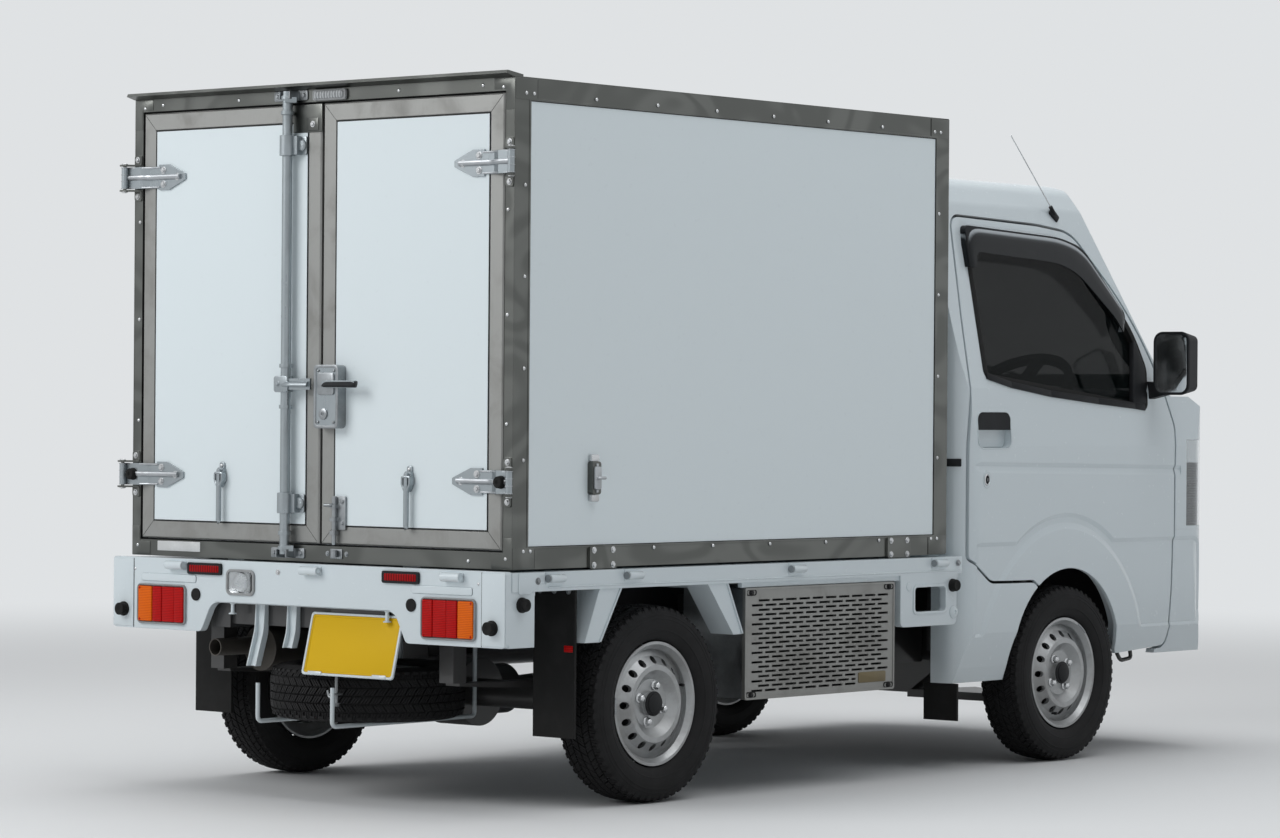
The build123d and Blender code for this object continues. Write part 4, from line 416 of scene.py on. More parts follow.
class Shape:
    def __init__(self):
        self.points, self.faces = [], []

    def take(self, points, faces, centre=(0, 0, 0), turn=None):
        base, shift = len(self.points), Vector(centre)
        for point in points:
            point = Vector(point)
            self.points.append((turn @ point if turn else point) + shift)
        self.faces += [tuple(base + index for index in face) for face in faces]
        return self

    def pour(self, solid, centre=(0, 0, 0), turn=None):
        solid.verts.index_update()
        faces = [tuple(vert.index for vert in face.verts) for face in solid.faces]
        self.take([vert.co.copy() for vert in solid.verts], faces, centre, turn)
        solid.free()
        return self

    def block(self, centre, size, bevel=0.0, turn=None):
        solid = bmesh.new()
        bmesh.ops.create_cube(solid, size=1.0)
        for vert in solid.verts:
            vert.co = Vector(a * b for a, b in zip(vert.co, size))
        if bevel:
            bmesh.ops.bevel(solid, geom=solid.edges[:], offset=bevel, segments=2, profile=0.5,
                            affect="EDGES")
        return self.pour(solid, centre, turn)

    def prism(self, outline, axis, low, high, bevel=0.0, steps=2):
        # outline drawn out along an axis, with both ends bevelled
        solid = bmesh.new()
        rings = [[solid.verts.new(spread(a, b, level, axis)) for a, b in outline] for level in (low, high)]
        caps = [solid.faces.new(ring) for ring in rings]
        for i in range(len(outline)):
            solid.faces.new((rings[0][i - 1], rings[0][i], rings[1][i], rings[1][i - 1]))
        bmesh.ops.recalc_face_normals(solid, faces=solid.faces[:])
        if bevel:
            edges = list({edge for cap in caps for edge in cap.edges})
            bmesh.ops.bevel(solid, geom=edges, offset=bevel, segments=steps, profile=0.5, affect="EDGES")
        return self.pour(solid)

    def ring(self, outer, inner, axis, low, high, raised=0.0):
        # frame between two outlines with as many points; raised lifts its middle at the high side
        count = len(outer)
        middle = [((a[0] + b[0]) / 2, (a[1] + b[1]) / 2) for a, b in zip(outer, inner)]
        loops = [(outer, low), (outer, high), (middle, high + raised), (inner, high), (inner, low)]
        points = [spread(a, b, level, axis) for outline, level in loops for a, b in outline]
        faces = []
        for row in range(len(loops)):
            after = (row + 1) % len(loops)
            for i in range(count):
                j = (i + 1) % count
                faces.append((row * count + i, row * count + j, after * count + j, after * count + i))
        return self.take(points, faces)

    def lathe(self, profile, centre=(0, 0, 0), axis="Z", sides=24, turn=None):
        # profile of (radius, along) points turned round the axis; open ends are capped
        points = [spread(radius * cos(2 * pi * i / sides), radius * sin(2 * pi * i / sides), along, axis)
                  for radius, along in profile for i in range(sides)]
        faces = strips(len(profile), sides)
        for row in (0, len(profile) - 1):
            if profile[row][0] > 0:
                faces.append(tuple(row * sides + i for i in range(sides)))
        return self.take(points, faces, centre, turn)

    def pipe(self, path, radius, sides=12, squash=1.0):
        # round bar along a path; squash flattens its section
        path = [Vector(point) for point in path]
        normal = (path[1] - path[0]).orthogonal().normalized()
        points = []
        for index, point in enumerate(path):
            tangent = (path[min(index + 1, len(path) - 1)] - path[max(index - 1, 0)]).normalized()
            normal = (normal - tangent * normal.dot(tangent)).normalized()
            across = tangent.cross(normal)
            for i in range(sides):
                angle = 2 * pi * i / sides
                points.append(point + normal * radius * cos(angle) + across * radius * squash * sin(angle))
        ends = [tuple(range(sides)), tuple(range((len(path) - 1) * sides, len(path) * sides))]
        return self.take(points, strips(len(path), sides) + ends)

    def bolt(self, centre, axis, radius, height):
        # hexagon head on its washer; a negative height points the other way
        self.lathe([(0, 0), (radius * 1.45, 0), (radius * 1.45, height * 0.22), (0, height * 0.22)], centre,
                   axis, 20)
        return self.lathe([(radius, height * 0.2), (radius, height * 0.82), (radius * 0.84, height),
                           (0, height)], centre, axis, 6)

    def rivet(self, centre, axis, radius, height):
        # low domed head
        return self.lathe([(radius, 0), (radius, height * 0.25), (radius * 0.8, height * 0.75),
                           (radius * 0.4, height), (0, height)], centre, axis, 14)

    def mirrored(self):
        # the same shape on the other side of the truck
        other = Shape()
        other.points = [Vector((point.x, -point.y, point.z)) for point in self.points]
        other.faces = [tuple(reversed(face)) for face in self.faces]
        return other

    def mesh(self, name, finish, sharp=38.0):
        solid = bmesh.new()
        made = [solid.verts.new(point * mm) for point in self.points]
        for face in self.faces:
            solid.faces.new([made[index] for index in face])
        bmesh.ops.remove_doubles(solid, verts=solid.verts[:], dist=1e-6)
        bmesh.ops.recalc_face_normals(solid, faces=solid.faces[:])
        data = bpy.data.meshes.new(name)
        solid.to_mesh(data)
        solid.free()
        data.materials.append(finishes[finish])
        data.shade_smooth()
        data.set_sharp_from_angle(angle=radians(sharp))
        return data

    def piece(self, name, finish, body, slot, sharp=38.0):
        return placed(name, self.mesh(name, finish, sharp), body)


def placed(name, data, body, spot=None):
    # an object for a mesh, riding on its body
    shown = bpy.data.objects.new(name, data)
    bpy.context.scene.collection.objects.link(shown)
    if spot:
        shown.matrix_world = spot
    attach(shown, body)
    return shown


sides = (("left", 1), ("right", -1))


def onSide(shape, sign):
    # a shape drawn for the left side, or its mirror image for the right
    return shape if sign > 0 else shape.mirrored()


# slices: flat facets round the tyre's carcass
tyre = {"radius": 265.0, "pitches": 60, "groove": 8.0, "sipes": 3, "slices": 120}
# rows of tread blocks: middle, half width, slant, start as a part of the pitch
treadRows = ((-55.0, 8.5, -0.10, 0.0), (-33.0, 9.5, 0.22, 0.5), (-11.0, 9.0, -0.22, 0.15),
             (11.0, 9.0, -0.22, 0.65), (33.0, 9.5, 0.22, 0.0), (55.0, 8.5, -0.10, 0.5))


def crown(along):
    # radius of the tread at that distance from the tyre's middle
    return tyre["radius"] - 0.6 - 3.0 * (along / 52.0) ** 2 - max(0.0, abs(along) - 50.0) ** 2 * 0.035


def tyreShape():
    shape = Shape()
    wall = [(168.5, 48.0), (171.0, 55.0), (179.0, 63.5), (188.5, 67.0), (195.0, 69.4), (195.6, 70.6),
            (198.0, 71.2), (198.8, 70.8), (206.0, 72.0), (218.0, 72.4), (226.0, 71.9), (226.6, 72.6),
            (228.4, 72.4), (229.0, 71.4), (236.0, 70.2), (236.6, 70.9), (238.0, 70.6), (238.6, 69.6),
            (245.0, 67.4), (250.0, 65.0), (254.0, 60.0), (256.0, 45.0), (256.8, 20.0), (257.0, 0.0)]
    section = wall + [(radius, -along) for radius, along in reversed(wall[:-1])]
    inside = [(168.5, -40.0), (200.0, -60.0), (240.0, -55.0), (240.0, 55.0), (200.0, 60.0), (168.5, 40.0)]
    section = section + inside + [section[0]]
    slices = tyre["slices"]
    points = [spread(radius * cos(2 * pi * i / slices), radius * sin(2 * pi * i / slices), along, "Y")
              for radius, along in section for i in range(slices)]
    shape.take(points, strips(len(section), slices))
    pitch = 2 * pi / tyre["pitches"]
    for middle, half, slant, start in treadRows:
        # gap between two blocks, as a part of the pitch; wider on the shoulders
        gap = 0.13 if abs(middle) < 50 else 0.20
        for index in range(tyre["pitches"]):
            for part in range(tyre["sipes"]):
                low = (index + start + gap / 2 + (1 - gap) * part / tyre["sipes"] + 0.02) * pitch
                high = (index + start + gap / 2 + (1 - gap) * (part + 1) / tyre["sipes"] - 0.02) * pitch
                points = []
                for drop, inset in ((tyre["groove"] + 1.0, 0.0), (0.8, 0.0), (0.0, 0.8)):
                    for angle, edge in ((low, -1), (high, -1), (high, 1), (low, 1)):
                        along = middle + edge * (half - inset)
                        turn = angle + slant * pitch * edge
                        turn += (inset if angle == low else -inset) / tyre["radius"]
                        radius = crown(along) - drop
                        points.append((radius * cos(turn), along, radius * sin(turn)))
                shape.take(points, [(8, 9, 10, 11)] + strips(3, 4))
    # lugs down the shoulders
    for side in (-1, 1):
        for index in range(tyre["pitches"]):
            low, high = (index + 0.1 + side * 0.2) * pitch, (index + 0.62 + side * 0.2) * pitch
            points = []
            for radius, along in ((243.0, 68.2), (259.0, 62.4), (259.0, 56.0), (243.0, 58.0)):
                points += [(radius * cos(angle), side * along, radius * sin(angle))
                           for angle in (low, high)]
            shape.take(points, [(0, 1, 3, 2), (2, 3, 5, 4), (0, 2, 4, 6), (1, 7, 5, 3), (4, 5, 7, 6),
                                (0, 6, 7, 1)])
    return shape


tyreMesh = tyreShape().mesh("block_tread_tyre", "tyre", 30.0)

# firstTurn and nextTurn: degrees that the wheels stand turned by, one after another
wheelFittings = {"nutCircle": 50.0, "nutRadius": 10.5, "nutFace": 40.0, "nutHeight": 19.0,
                 "firstTurn": 17, "nextTurn": 63}
nuts = Shape()
for step in range(4):
    angle = radians(45 + 90 * step)
    spot = (wheelFittings["nutCircle"] * cos(angle), wheelFittings["nutFace"],
            wheelFittings["nutCircle"] * sin(angle))
    size, tall = wheelFittings["nutRadius"], wheelFittings["nutHeight"]
    nuts.lathe([(0, 0), (size * 1.3, 0), (size * 1.3, 3), (size, 5)], spot, "Y", 20)
    nuts.lathe([(size, 3), (size, tall - 6), (size * 0.8, tall - 3), (size * 0.55, tall - 1), (0, tall)],
               spot, "Y", 6)
nutMesh = nuts.mesh("wheel_nuts", "chrome")
hub = Shape()
hub.lathe([(0, 51), (33.5, 51), (33.5, 54), (30.5, 56), (28.5, 56), (27.5, 60), (22, 63), (0, 64)],
          (0, 0, 0), "Y", 40)
# tyre valve
hub.lathe([(4.0, 22), (4.2, 30), (3.4, 32), (3.2, 48), (4.3, 48.5), (4.3, 58), (0, 58.6)], (126, 0, 12),
          "Y", 14)
hubMesh = hub.mesh("hub_cap_and_valve", "blackPlastic")
weight = Shape()
for step in range(7):
    angle = radians(200 + step * 2.2)
    weight.block((163 * cos(angle), 57, 163 * sin(angle)), (6.5, 5, 7), 1.5, turned(y=-degrees(angle)))
weightMesh = weight.mesh("balance_weight", "zinc")


def spun(data, angle):
    copied = data.copy()
    copied.transform(Matrix.Rotation(radians(angle), 4, "Y"))
    return copied


corners = [(end, side, sign) for end in ("front", "rear") for side, sign in sides]
for index, (end, side, sign) in enumerate(corners):
    name = f"{end}_{side}"
    body = f"wheel_{name}"
    stop = wheelFittings["firstTurn"] + wheelFittings["nextTurn"] * index
    outwards = Matrix.Rotation(0 if sign > 0 else pi, 4, "Z")
    spot = Matrix.Translation(jointPlace[f"{body}_spin"] * mm) @ outwards
    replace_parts(placed(f"tread_tyre_{name}", spun(tyreMesh, stop), body, spot), f"tyre_{name}")
    placed(f"nuts_{name}", spun(nutMesh, stop), body, spot)
    placed(f"hub_cap_{name}", spun(hubMesh, stop), body, spot)
    placed(f"weight_{name}", spun(weightMesh, stop), body, spot)

spareLow, spareHigh = nodeBox("spare_wheel")
flatSpot = Matrix.Translation((spareLow + spareHigh) / 2 * mm) @ Matrix.Rotation(radians(-90), 4, "X")
spareTyre = placed("tread_tyre_spare", tyreMesh, "chassis", flatSpot)
# the spare's rim is the mesh of a running wheel's rim, brought back to the wheel's middle
rimHome = Matrix.Translation(-jointPlace["wheel_rear_left_spin"] * mm) @ nodes["rim_rear_left"].matrix_world
placed("spare_rim", nodes["rim_rear_left"].data, "chassis", flatSpot @ rimHome)
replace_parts(spareTyre, "spare_wheel")
print("wheels")

tailFace = nodeBox("bed_rear_panel")[0].x
tail = {"lampY": 538.0, "lampZ": 506.0, "lampWidth": 186.0, "lampHeight": 104.0, "amberWidth": 54.0,
        "reflectorY": 368.0, "reflectorZ": 608.0, "reverseY": 230.0, "reverseZ": 575.0}


def lensBlock(shape, y, z, width, height, back, front, radius):
    # moulded lens with a rounded face
    return shape.prism(softBox(y, z, width, height, radius), "X", tailFace - front, tailFace - back, 2.4,
                       steps=3)


for side, sign in sides:
    outer = sign * (tail["lampY"] + tail["lampWidth"] / 2)
    inner = sign * (tail["lampY"] - tail["lampWidth"] / 2)
    z, height, width = tail["lampZ"], tail["lampHeight"], tail["lampWidth"]
    amberY = outer - sign * (tail["amberWidth"] / 2 + 3)
    redWidth = width - tail["amberWidth"] - 9
    amber = lensBlock(Shape(), amberY, z, tail["amberWidth"], height - 7, -10, 8, 5)
    amber.piece(f"amber_lens_{side}", "lampAmber", "chassis", "lamp_red")
    red = Shape()
    # three panes of the red lens, the middle one set back a little: start, share of the width, front
    for start, share, front in ((0.0, 0.30, 8.0), (0.30, 0.40, 6.8), (0.70, 0.30, 8.0)):
        lensBlock(red, inner + sign * (3 + redWidth * (start + share / 2)), z, redWidth * share - 0.8,
                  height - 7, -10, front, 4)
    red.piece(f"red_lens_{side}", "lampRed", "chassis", "lamp_red")
    border = Shape()
    lampY = sign * tail["lampY"]
    border.ring(softBox(lampY, z, width + 6, height + 6, 14), softBox(lampY, z, width - 3, height - 3, 9),
                "X", tailFace, tailFace - 6.0, -1.5)
    border.prism(softBox(lampY, z, width, height, 12), "X", tailFace - 1, tailFace + 22)
    border.piece(f"lamp_bezel_{side}", "greyPlastic", "chassis", "black_plastic")
    screws = Shape()
    for up in (-1, 1):
        for out in (-1, 1):
            screws.rivet((tailFace - 7.6, lampY + out * (width / 2 - 10), z + up * (height / 2 - 9)), "X",
                         3.4, -1.8)
    screws.piece(f"lamp_screws_{side}", "lampRed", "chassis", "lamp_red")
    reflectorY, reflectorZ = sign * tail["reflectorY"], tail["reflectorZ"]
    reflector = lensBlock(Shape(), reflectorY, reflectorZ, 115, 19, 0, 8.5, 4)
    reflector.piece(f"reflector_{side}", "reflector", "chassis", "lamp_red")
    base = Shape().ring(softBox(reflectorY, reflectorZ, 132, 32, 6),
                        softBox(reflectorY, reflectorZ, 114, 18, 4), "X", tailFace, tailFace - 6.5)
    base.piece(f"reflector_base_{side}", "blackPlastic", "chassis", "black_plastic")

reverseY, reverseZ = tail["reverseY"], tail["reverseZ"]
reverseRim = Shape()
reverseRim.ring(softBox(reverseY, reverseZ, 108, 70, 17), softBox(reverseY, reverseZ, 94, 56, 11), "X",
                tailFace, tailFace - 4.5, -1.0)
reverseRim.piece("reverse_lamp_rim", "greyPlastic", "chassis", "black_plastic")
bowl = Shape()
bowl.lathe([(27, 0), (24, 9), (17, 15), (7, 18), (0, 18)], (tailFace + 1, reverseY, reverseZ), "X", 32)
mouth = [(reverseY + 26 * cos(angle), reverseZ + 26 * sin(angle))
         for angle in (pi * 1.25 + 2 * pi * step / 28 for step in range(28))]
bowl.ring(softBox(reverseY, reverseZ, 99, 61, 14), mouth, "X", tailFace + 4, tailFace + 1)
bowl.lathe([(3, 0), (5, 4), (5, 12), (0, 14)], (tailFace + 17, reverseY, reverseZ), "X", 16)
bowl.piece("reverse_lamp_bowl", "chrome", "chassis", "lamp_clear")
reverseLens = Shape().prism(softBox(reverseY, reverseZ, 95, 57, 11), "X", tailFace - 5, tailFace - 2.5, 1.0)
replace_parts(reverseLens.piece("reverse_lamp_lens", "lampClear", "chassis", "lamp_clear"), "tail_lamps")

# pressings and fittings of the bed's rear panel
pressings = Shape()
for side, sign in sides:
    pressings.prism(softBox(sign * 512, 579, 218, 22, 8), "X", tailFace - 2.6, tailFace + 1, 2.4, steps=3)
    # corner piece lapped over the panel
    pressings.prism(box((sign * 653, 441), (sign * 734, 628)), "X", tailFace - 1.6, tailFace + 1, 0.8)
for y in (476, -42, -556):
    # rolled eye for a tailgate's pin
    pressings.lathe([(7.5, -33), (11.5, -33), (11.5, 33), (7.5, 33), (7.5, -33)], (tailFace - 12, y, 615),
                    "Y", 24)
    pressings.prism(box((y - 33, 603), (y + 33, 626)), "X", tailFace - 3, tailFace + 1, 1.0)
    pressings.block((tailFace - 6, y, 604), (10, 66, 3), 1.0)
for y in (270, -309):
    pressings.lathe([(11, 0), (11, 3), (5.5, 5), (5.0, 26), (7.5, 28), (7.5, 31), (0, 31)],
                    (tailFace + 9, y, 488), "Z", 16)
pressings.block((tailFace + 11, 0, 519.5), (22, 660, 3), 1.0)
pressings.piece("tail_pressings", "white", "chassis", "white_paint")
joins = Shape()
for side, sign in sides:
    joins.block((tailFace - 0.3, sign * 652.2, 534), (1.2, 1.6, 192), 0.3)
joins.piece("tail_seams", "dark", "chassis", "black_plastic")
tailBolts = Shape()
tailBolts.bolt((tailFace, 88, 607), "X", 5.5, -5)
for y in (-640, 648):
    tailBolts.rivet((tailFace, y, 600), "X", 4, -2)
tailBolts.piece("tail_bolts", "chrome", "chassis", "galvanised")

# rubber stops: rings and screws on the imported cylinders
stops = Shape()
for side, sign in sides:
    stops.lathe([(20, 0), (20, 6), (15.5, 8), (14.5, 17), (17, 19), (17, 22), (6, 22.6), (0, 19)],
                (tailFace, sign * 690, 488), "X", 32, turned(z=180))
    stops.lathe([(20, 0), (20, 5), (15.5, 7), (14.5, 14), (17, 16), (16, 19), (6, 19.5), (0, 16)],
                (tailFace + 60, sign * 735, 547), "Y", 32, None if sign > 0 else turned(z=180))
stops.piece("bed_stops", "rubber", "chassis", "rubber")

# the blank plate: pale rim, pressed edge, two clips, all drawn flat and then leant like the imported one
plate = {"low": (-17.7, -355, 342), "high": (22.3, -25, 503)}    # x from the tail's face
plateLow, plateHigh = (Vector((tailFace + x, y, z)) for x, y, z in plate.values())
plateMiddle = (plateLow + plateHigh) / 2
plateTilt = turned(y=degrees(atan2(40, 161)))
rim = Shape()
rim.ring(softBox(0, 0, 335, 170, 10), softBox(0, 0, 322, 157, 7), "X", 2.0, -3.4, -0.8)
for across in (-118, 118):
    rim.block((-3.2, across, -80), (5, 50, 11), 1.6)
placedRim = Shape().take(rim.points, rim.faces, plateMiddle, plateTilt)
placedRim.piece("plate_rim", "white", "chassis", "white_paint")
face = Shape()
face.ring(softBox(0, 0, 321, 156, 7), softBox(0, 0, 311, 146, 5), "X", 0.5, -2.2, -0.6)
face.prism(softBox(0, 0, 323, 158, 7), "X", -1.4, 0.5, 0.5)
placedFace = Shape().take(face.points, face.faces, plateMiddle, plateTilt)
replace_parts(placedFace.piece("plate_face", "plateYellow", "chassis", "plate_yellow"), "rear_plate")
backing = Shape().block((1.6, 0, 0), (2.4, 326, 161), 0.6)
holder = Shape().take(backing.points, backing.faces, plateMiddle, plateTilt)
holder.block((tailFace + 23.8, -190, 530), (3, 200, 60), 0.8)
holder.piece("plate_holder", "chassisBlack", "chassis", "chassis_black")
print("tail")

# hooks, end plates and window rims along the bed's sides
bedSide = 737.0
bedFittings = {
    # x from the rear axle, with z where there are two numbers
    "hooks": (-448, -137, 561, 1227),
    "hookZ": 613,
    "endPlate": -540,
    "bolts": ((-514, 607), (1320, 611)),
    "window": (1185, 510),
    "boss": (1300, 469),
    "button": (1084, 548),
    "stop": (1294, 547),
    "braces": ((-178, -84), (262, 68)),    # top of the brace's edge, and how far it leans
}
fittings = Shape()
pins = Shape()
for dx in bedFittings["hooks"]:
    x = rearAxleX + dx
    rolled = (x - 2, bedSide + 10.5, bedFittings["hookZ"])
    # rolled hook on its base plate, open end towards the rear
    fittings.prism(box((x - 34, 598), (x + 36, 629)), "Y", bedSide - 1, bedSide + 2.6, 1.0)
    fittings.lathe([(7, -30), (11, -30), (11, 26), (8.5, 30), (7, 30), (7, -30)], rolled, "X", 22)
    fittings.block((x - 2, bedSide + 5, 603.5), (58, 9, 3), 1.0)
    pins.lathe([(6.6, -34), (6.6, 22), (0, 22)], rolled, "X", 16)
    pins.lathe([(10, -35), (10, -33), (0, -33)], rolled, "X", 16)
endX = rearAxleX + bedFittings["endPlate"]
fittings.prism(curved([(endX - 48, 574, 8), (endX - 2, 574, 14), (endX + 38, 600, 14), (endX + 54, 600, 6),
                       (endX + 54, 630, 5), (endX - 48, 630, 5)]), "Y", bedSide - 1, bedSide + 2.4, 1.2)
for dx, z in bedFittings["bolts"]:
    pins.bolt((rearAxleX + dx, bedSide + 2, z), "Y", 6.5, 6)
# pressed rib along the rail and the returned lower lip
railFront = nodeBox("bed_deck")[1].x
fittings.block(((endX + 60 + railFront) / 2, bedSide + 0.4, 590), (railFront - endX - 74, 3, 5), 1.4)
# white rim of the window in the front side panel, with its boss
dx, z = bedFittings["window"]
fittings.ring(softBox(rearAxleX + dx, z, 164, 86, 16), softBox(rearAxleX + dx, z, 148, 70, 11), "Y",
              bedSide - 18, bedSide + 2.6, 1.0)
dx, z = bedFittings["boss"]
fittings.lathe([(19, 0), (19, 3), (13, 8), (6, 9), (5, 6), (0, 6)], (rearAxleX + dx, bedSide - 1, z),
               "Y", 26)
dx, z = bedFittings["button"]
fittings.lathe([(13, 0), (12, 3), (0, 4)], (rearAxleX + dx, bedSide - 1, z), "Y", 20)
for x, lean in bedFittings["braces"]:
    # stiffening lip down the outer edge of each wheel brace
    fittings.pipe([(rearAxleX + x, bedSide - 3, 583), (rearAxleX + x + lean, bedSide - 3, 442)], 3.0, 8)
# pressed panel under the rail between the brace and the cooling unit
fittings.prism(box((rearAxleX + 330, 566), (railFront - 8, 582)), "Y", bedSide - 22, bedSide - 6, 2.0)
plugs = Shape()
dx, z = bedFittings["stop"]
plugs.lathe([(19, 0), (19, 4), (15, 7), (14, 15), (16.5, 17), (15, 20), (0, 17)],
            (rearAxleX + dx, bedSide, z), "Y", 28)
for side, sign in sides:
    onSide(fittings, sign).piece(f"bed_hooks_{side}", "white", "chassis", "white_paint")
    onSide(pins, sign).piece(f"bed_hook_pins_{side}", "zinc", "chassis", "galvanised")
    onSide(plugs, sign).piece(f"bed_side_stop_{side}", "rubber", "chassis", "rubber")

# cooling unit: finned core behind the slots, bolts, oval holes, bare badge
unitLow, unitHigh = nodeBox("condenser_grille")
unitWide, unitTall = unitHigh.x - unitLow.x, unitHigh.z - unitLow.z
unitX, unitZ = (unitLow.x + unitHigh.x) / 2, (unitLow.z + unitHigh.z) / 2
unit = {"behind": 30, "fins": 150, "finThick": 1.0, "finDeep": 22, "tubes": 11, "tubeRadius": 4.5}
core = Shape()
coreFace = unitLow.y + unit["behind"]
core.prism(box((unitLow.x + 22, unitLow.z + 20), (unitHigh.x - 22, unitHigh.z - 20)), "Y",
           coreFace + unit["finDeep"], coreFace + unit["finDeep"] + 12)
for index in range(unit["fins"]):
    x = unitLow.x + 26 + (unitWide - 52) * index / (unit["fins"] - 1)
    core.block((x, coreFace + unit["finDeep"] / 2, unitZ),
               (unit["finThick"], unit["finDeep"], unitTall - 46))
for index in range(unit["tubes"]):
    z = unitLow.z + 34 + (unitTall - 68) * index / (unit["tubes"] - 1)
    core.pipe([(unitLow.x + 24, coreFace + 4, z), (unitHigh.x - 24, coreFace + 4, z)],
              unit["tubeRadius"], 8)
core.piece("condenser_core", "coreDark", "chassis", "galvanised")
hardware = Shape()
for x in (unitLow.x + 26, unitHigh.x - 26):
    for z in (unitLow.z + 12, unitHigh.z - 12):
        hardware.bolt((x, unitLow.y, z), "Y", 6.5, -6)
        hardware.ring(softBox(x, z, 44, 17, 8.4), softBox(x, z, 38, 11, 5.4), "Y",
                      unitLow.y, unitLow.y - 1.6)
hardware.piece("grille_bolts", "sealant", "chassis", "galvanised")
# folded flange round the grille sheet
flange = Shape().ring(softBox(unitX, unitZ, unitWide + 2, unitTall + 2, 8),
                      softBox(unitX, unitZ, unitWide - 10, unitTall - 10, 5), "Y",
                      unitLow.y + 4, unitLow.y - 1.8)
flange.piece("grille_flange", "aluminium", "chassis", "edge_aluminium")
badge = Shape()
badgeX, badgeZ = unitHigh.x - 103, unitLow.z + 38
badge.prism(softBox(badgeX, badgeZ, 126, 30, 5), "Y", unitLow.y - 2.2, unitLow.y + 1, 0.8)
badge.piece("bare_badge", "bronze", "chassis", "edge_aluminium")
print("bed sides and cooling unit")

# box body: rivets, corner caps, folded lips, seams
boxRear, boxFront = (corner.x for corner in nodeBox("box_trim"))
boxTrim = {
    "face": 712.0,
    "rivetRadius": 5.2,
    "rivetHeight": 3.4,
    "topRivets": (-543, -513, -269, -20, 229, 476, 721, 973, 1224, 1253),    # x from the rear axle
    "footRivets": (-543, -516, -23, 225, 473, 724, 971, 1220, 1249),
    "postRivets": (1624, 1389, 1153, 917),                                   # z, on both posts
    "posts": (-544, 1249),
    "clamps": (-233, 1061),
    "catch": (-273, 870),                                                    # x and z
}
trimFace, rivetRadius, rivetHeight = boxTrim["face"], boxTrim["rivetRadius"], boxTrim["rivetHeight"]
rivets, caps, seams = Shape(), Shape(), Shape()
for dx in boxTrim["topRivets"]:
    rivets.rivet((rearAxleX + dx, trimFace + 1, 1860), "Y", rivetRadius, rivetHeight)
for dx in boxTrim["footRivets"]:
    rivets.rivet((rearAxleX + dx, trimFace + 1, 683), "Y", rivetRadius, rivetHeight)
for z in boxTrim["postRivets"]:
    for dx in boxTrim["posts"]:
        rivets.rivet((rearAxleX + dx, trimFace, z), "Y", rivetRadius, rivetHeight)
for x0, x1 in ((boxRear + 1, boxRear + 84), (boxFront - 86, boxFront - 1)):
    for z0, z1 in ((1843, 1898), (637, 692)):
        caps.prism(box((x0, z0), (x1, z1)), "Y", trimFace - 0.5, trimFace + 1.4, 0.6)
# folded lips along the panel's edge of each trim sheet
lip = box((boxRear + 57, 690), (boxFront - 57, 1845))
caps.ring(grown(lip, 2.5), grown(lip, -3.5), "Y", 709.4, trimFace + 1.0, 0.9)
seams.ring(grown(lip, -3.4), grown(lip, -5.2), "Y", 709.2, trimFace - 0.9)
for x in (boxRear + 85, boxFront - 87):
    for z in (1871, 664):
        seams.block((x, trimFace + 0.2, z), (1.3, 1.0, 52))
# mounting clamps at the foot: four bolts and a lower plate each
for dx in boxTrim["clamps"]:
    for x in (-38, 38):
        for z in (642, 681):
            rivets.bolt((rearAxleX + dx + x, trimFace + 6, z), "Y", 6, 5)
    caps.prism(softBox(rearAxleX + dx, 616, 100, 30, 5), "Y", trimFace - 4, trimFace + 3, 1.0)
# catch for the open door: stem, hook and feet
catch = Shape()
catchX, catchZ = rearAxleX + boxTrim["catch"][0], boxTrim["catch"][1]
catch.prism(softBox(catchX, catchZ, 26, 60, 6), "Y", trimFace + 14, trimFace + 22, 2.0)
stem = [(catchX - 4, trimFace + 8, catchZ), (catchX - 4, trimFace + 27, catchZ),
        (catchX + 22, trimFace + 27, catchZ)]
catch.pipe(bent(stem, 6), 4, 10)
for up in (-34, 34):
    catch.bolt((catchX, trimFace + 15, catchZ + up), "Y", 5, 4)
feet = Shape()
for up in (-52, 52):
    feet.prism(softBox(catchX, catchZ + up, 30, 20, 5), "Y", trimFace - 1, trimFace + 12, 2.5)
for side, sign in sides:
    onSide(rivets, sign).piece(f"box_rivets_{side}", "chrome", "chassis", "stainless_trim")
    onSide(caps, sign).piece(f"box_corner_caps_{side}", "stainless", "chassis", "stainless_trim")
    onSide(seams, sign).piece(f"box_seams_{side}", "dark", "chassis", "black_plastic")
    onSide(catch, sign).piece(f"door_catch_{side}", "zincBright", "chassis", "galvanised")
    onSide(feet, sign).piece(f"catch_feet_{side}", "chrome", "chassis", "galvanised")
# edge trims over the roof and the front corners
roof = Shape()
for side, sign in sides:
    # strip along the roof's edge, then the angle round the front corner
    roof.prism(box((sign * 655, 1899), (sign * 712, 1901.5)), "X", boxRear + 30, boxFront, 0.6)
    roof.prism([(boxFront - 57, sign * 655), (boxFront - 57, sign * 713), (boxFront + 1.5, sign * 713),
                (boxFront + 1.5, sign * 655), (boxFront, sign * 655), (boxFront, sign * 711.5),
                (boxFront - 57, sign * 711.5)], "Z", 640, 1899)
roof.prism(box((boxFront - 50, 1899), (boxFront + 1.5, 1901.5)), "Y", -712, 712, 0.6)
roof.piece("roof_trims", "stainless", "chassis", "stainless_trim")
print("box trims")

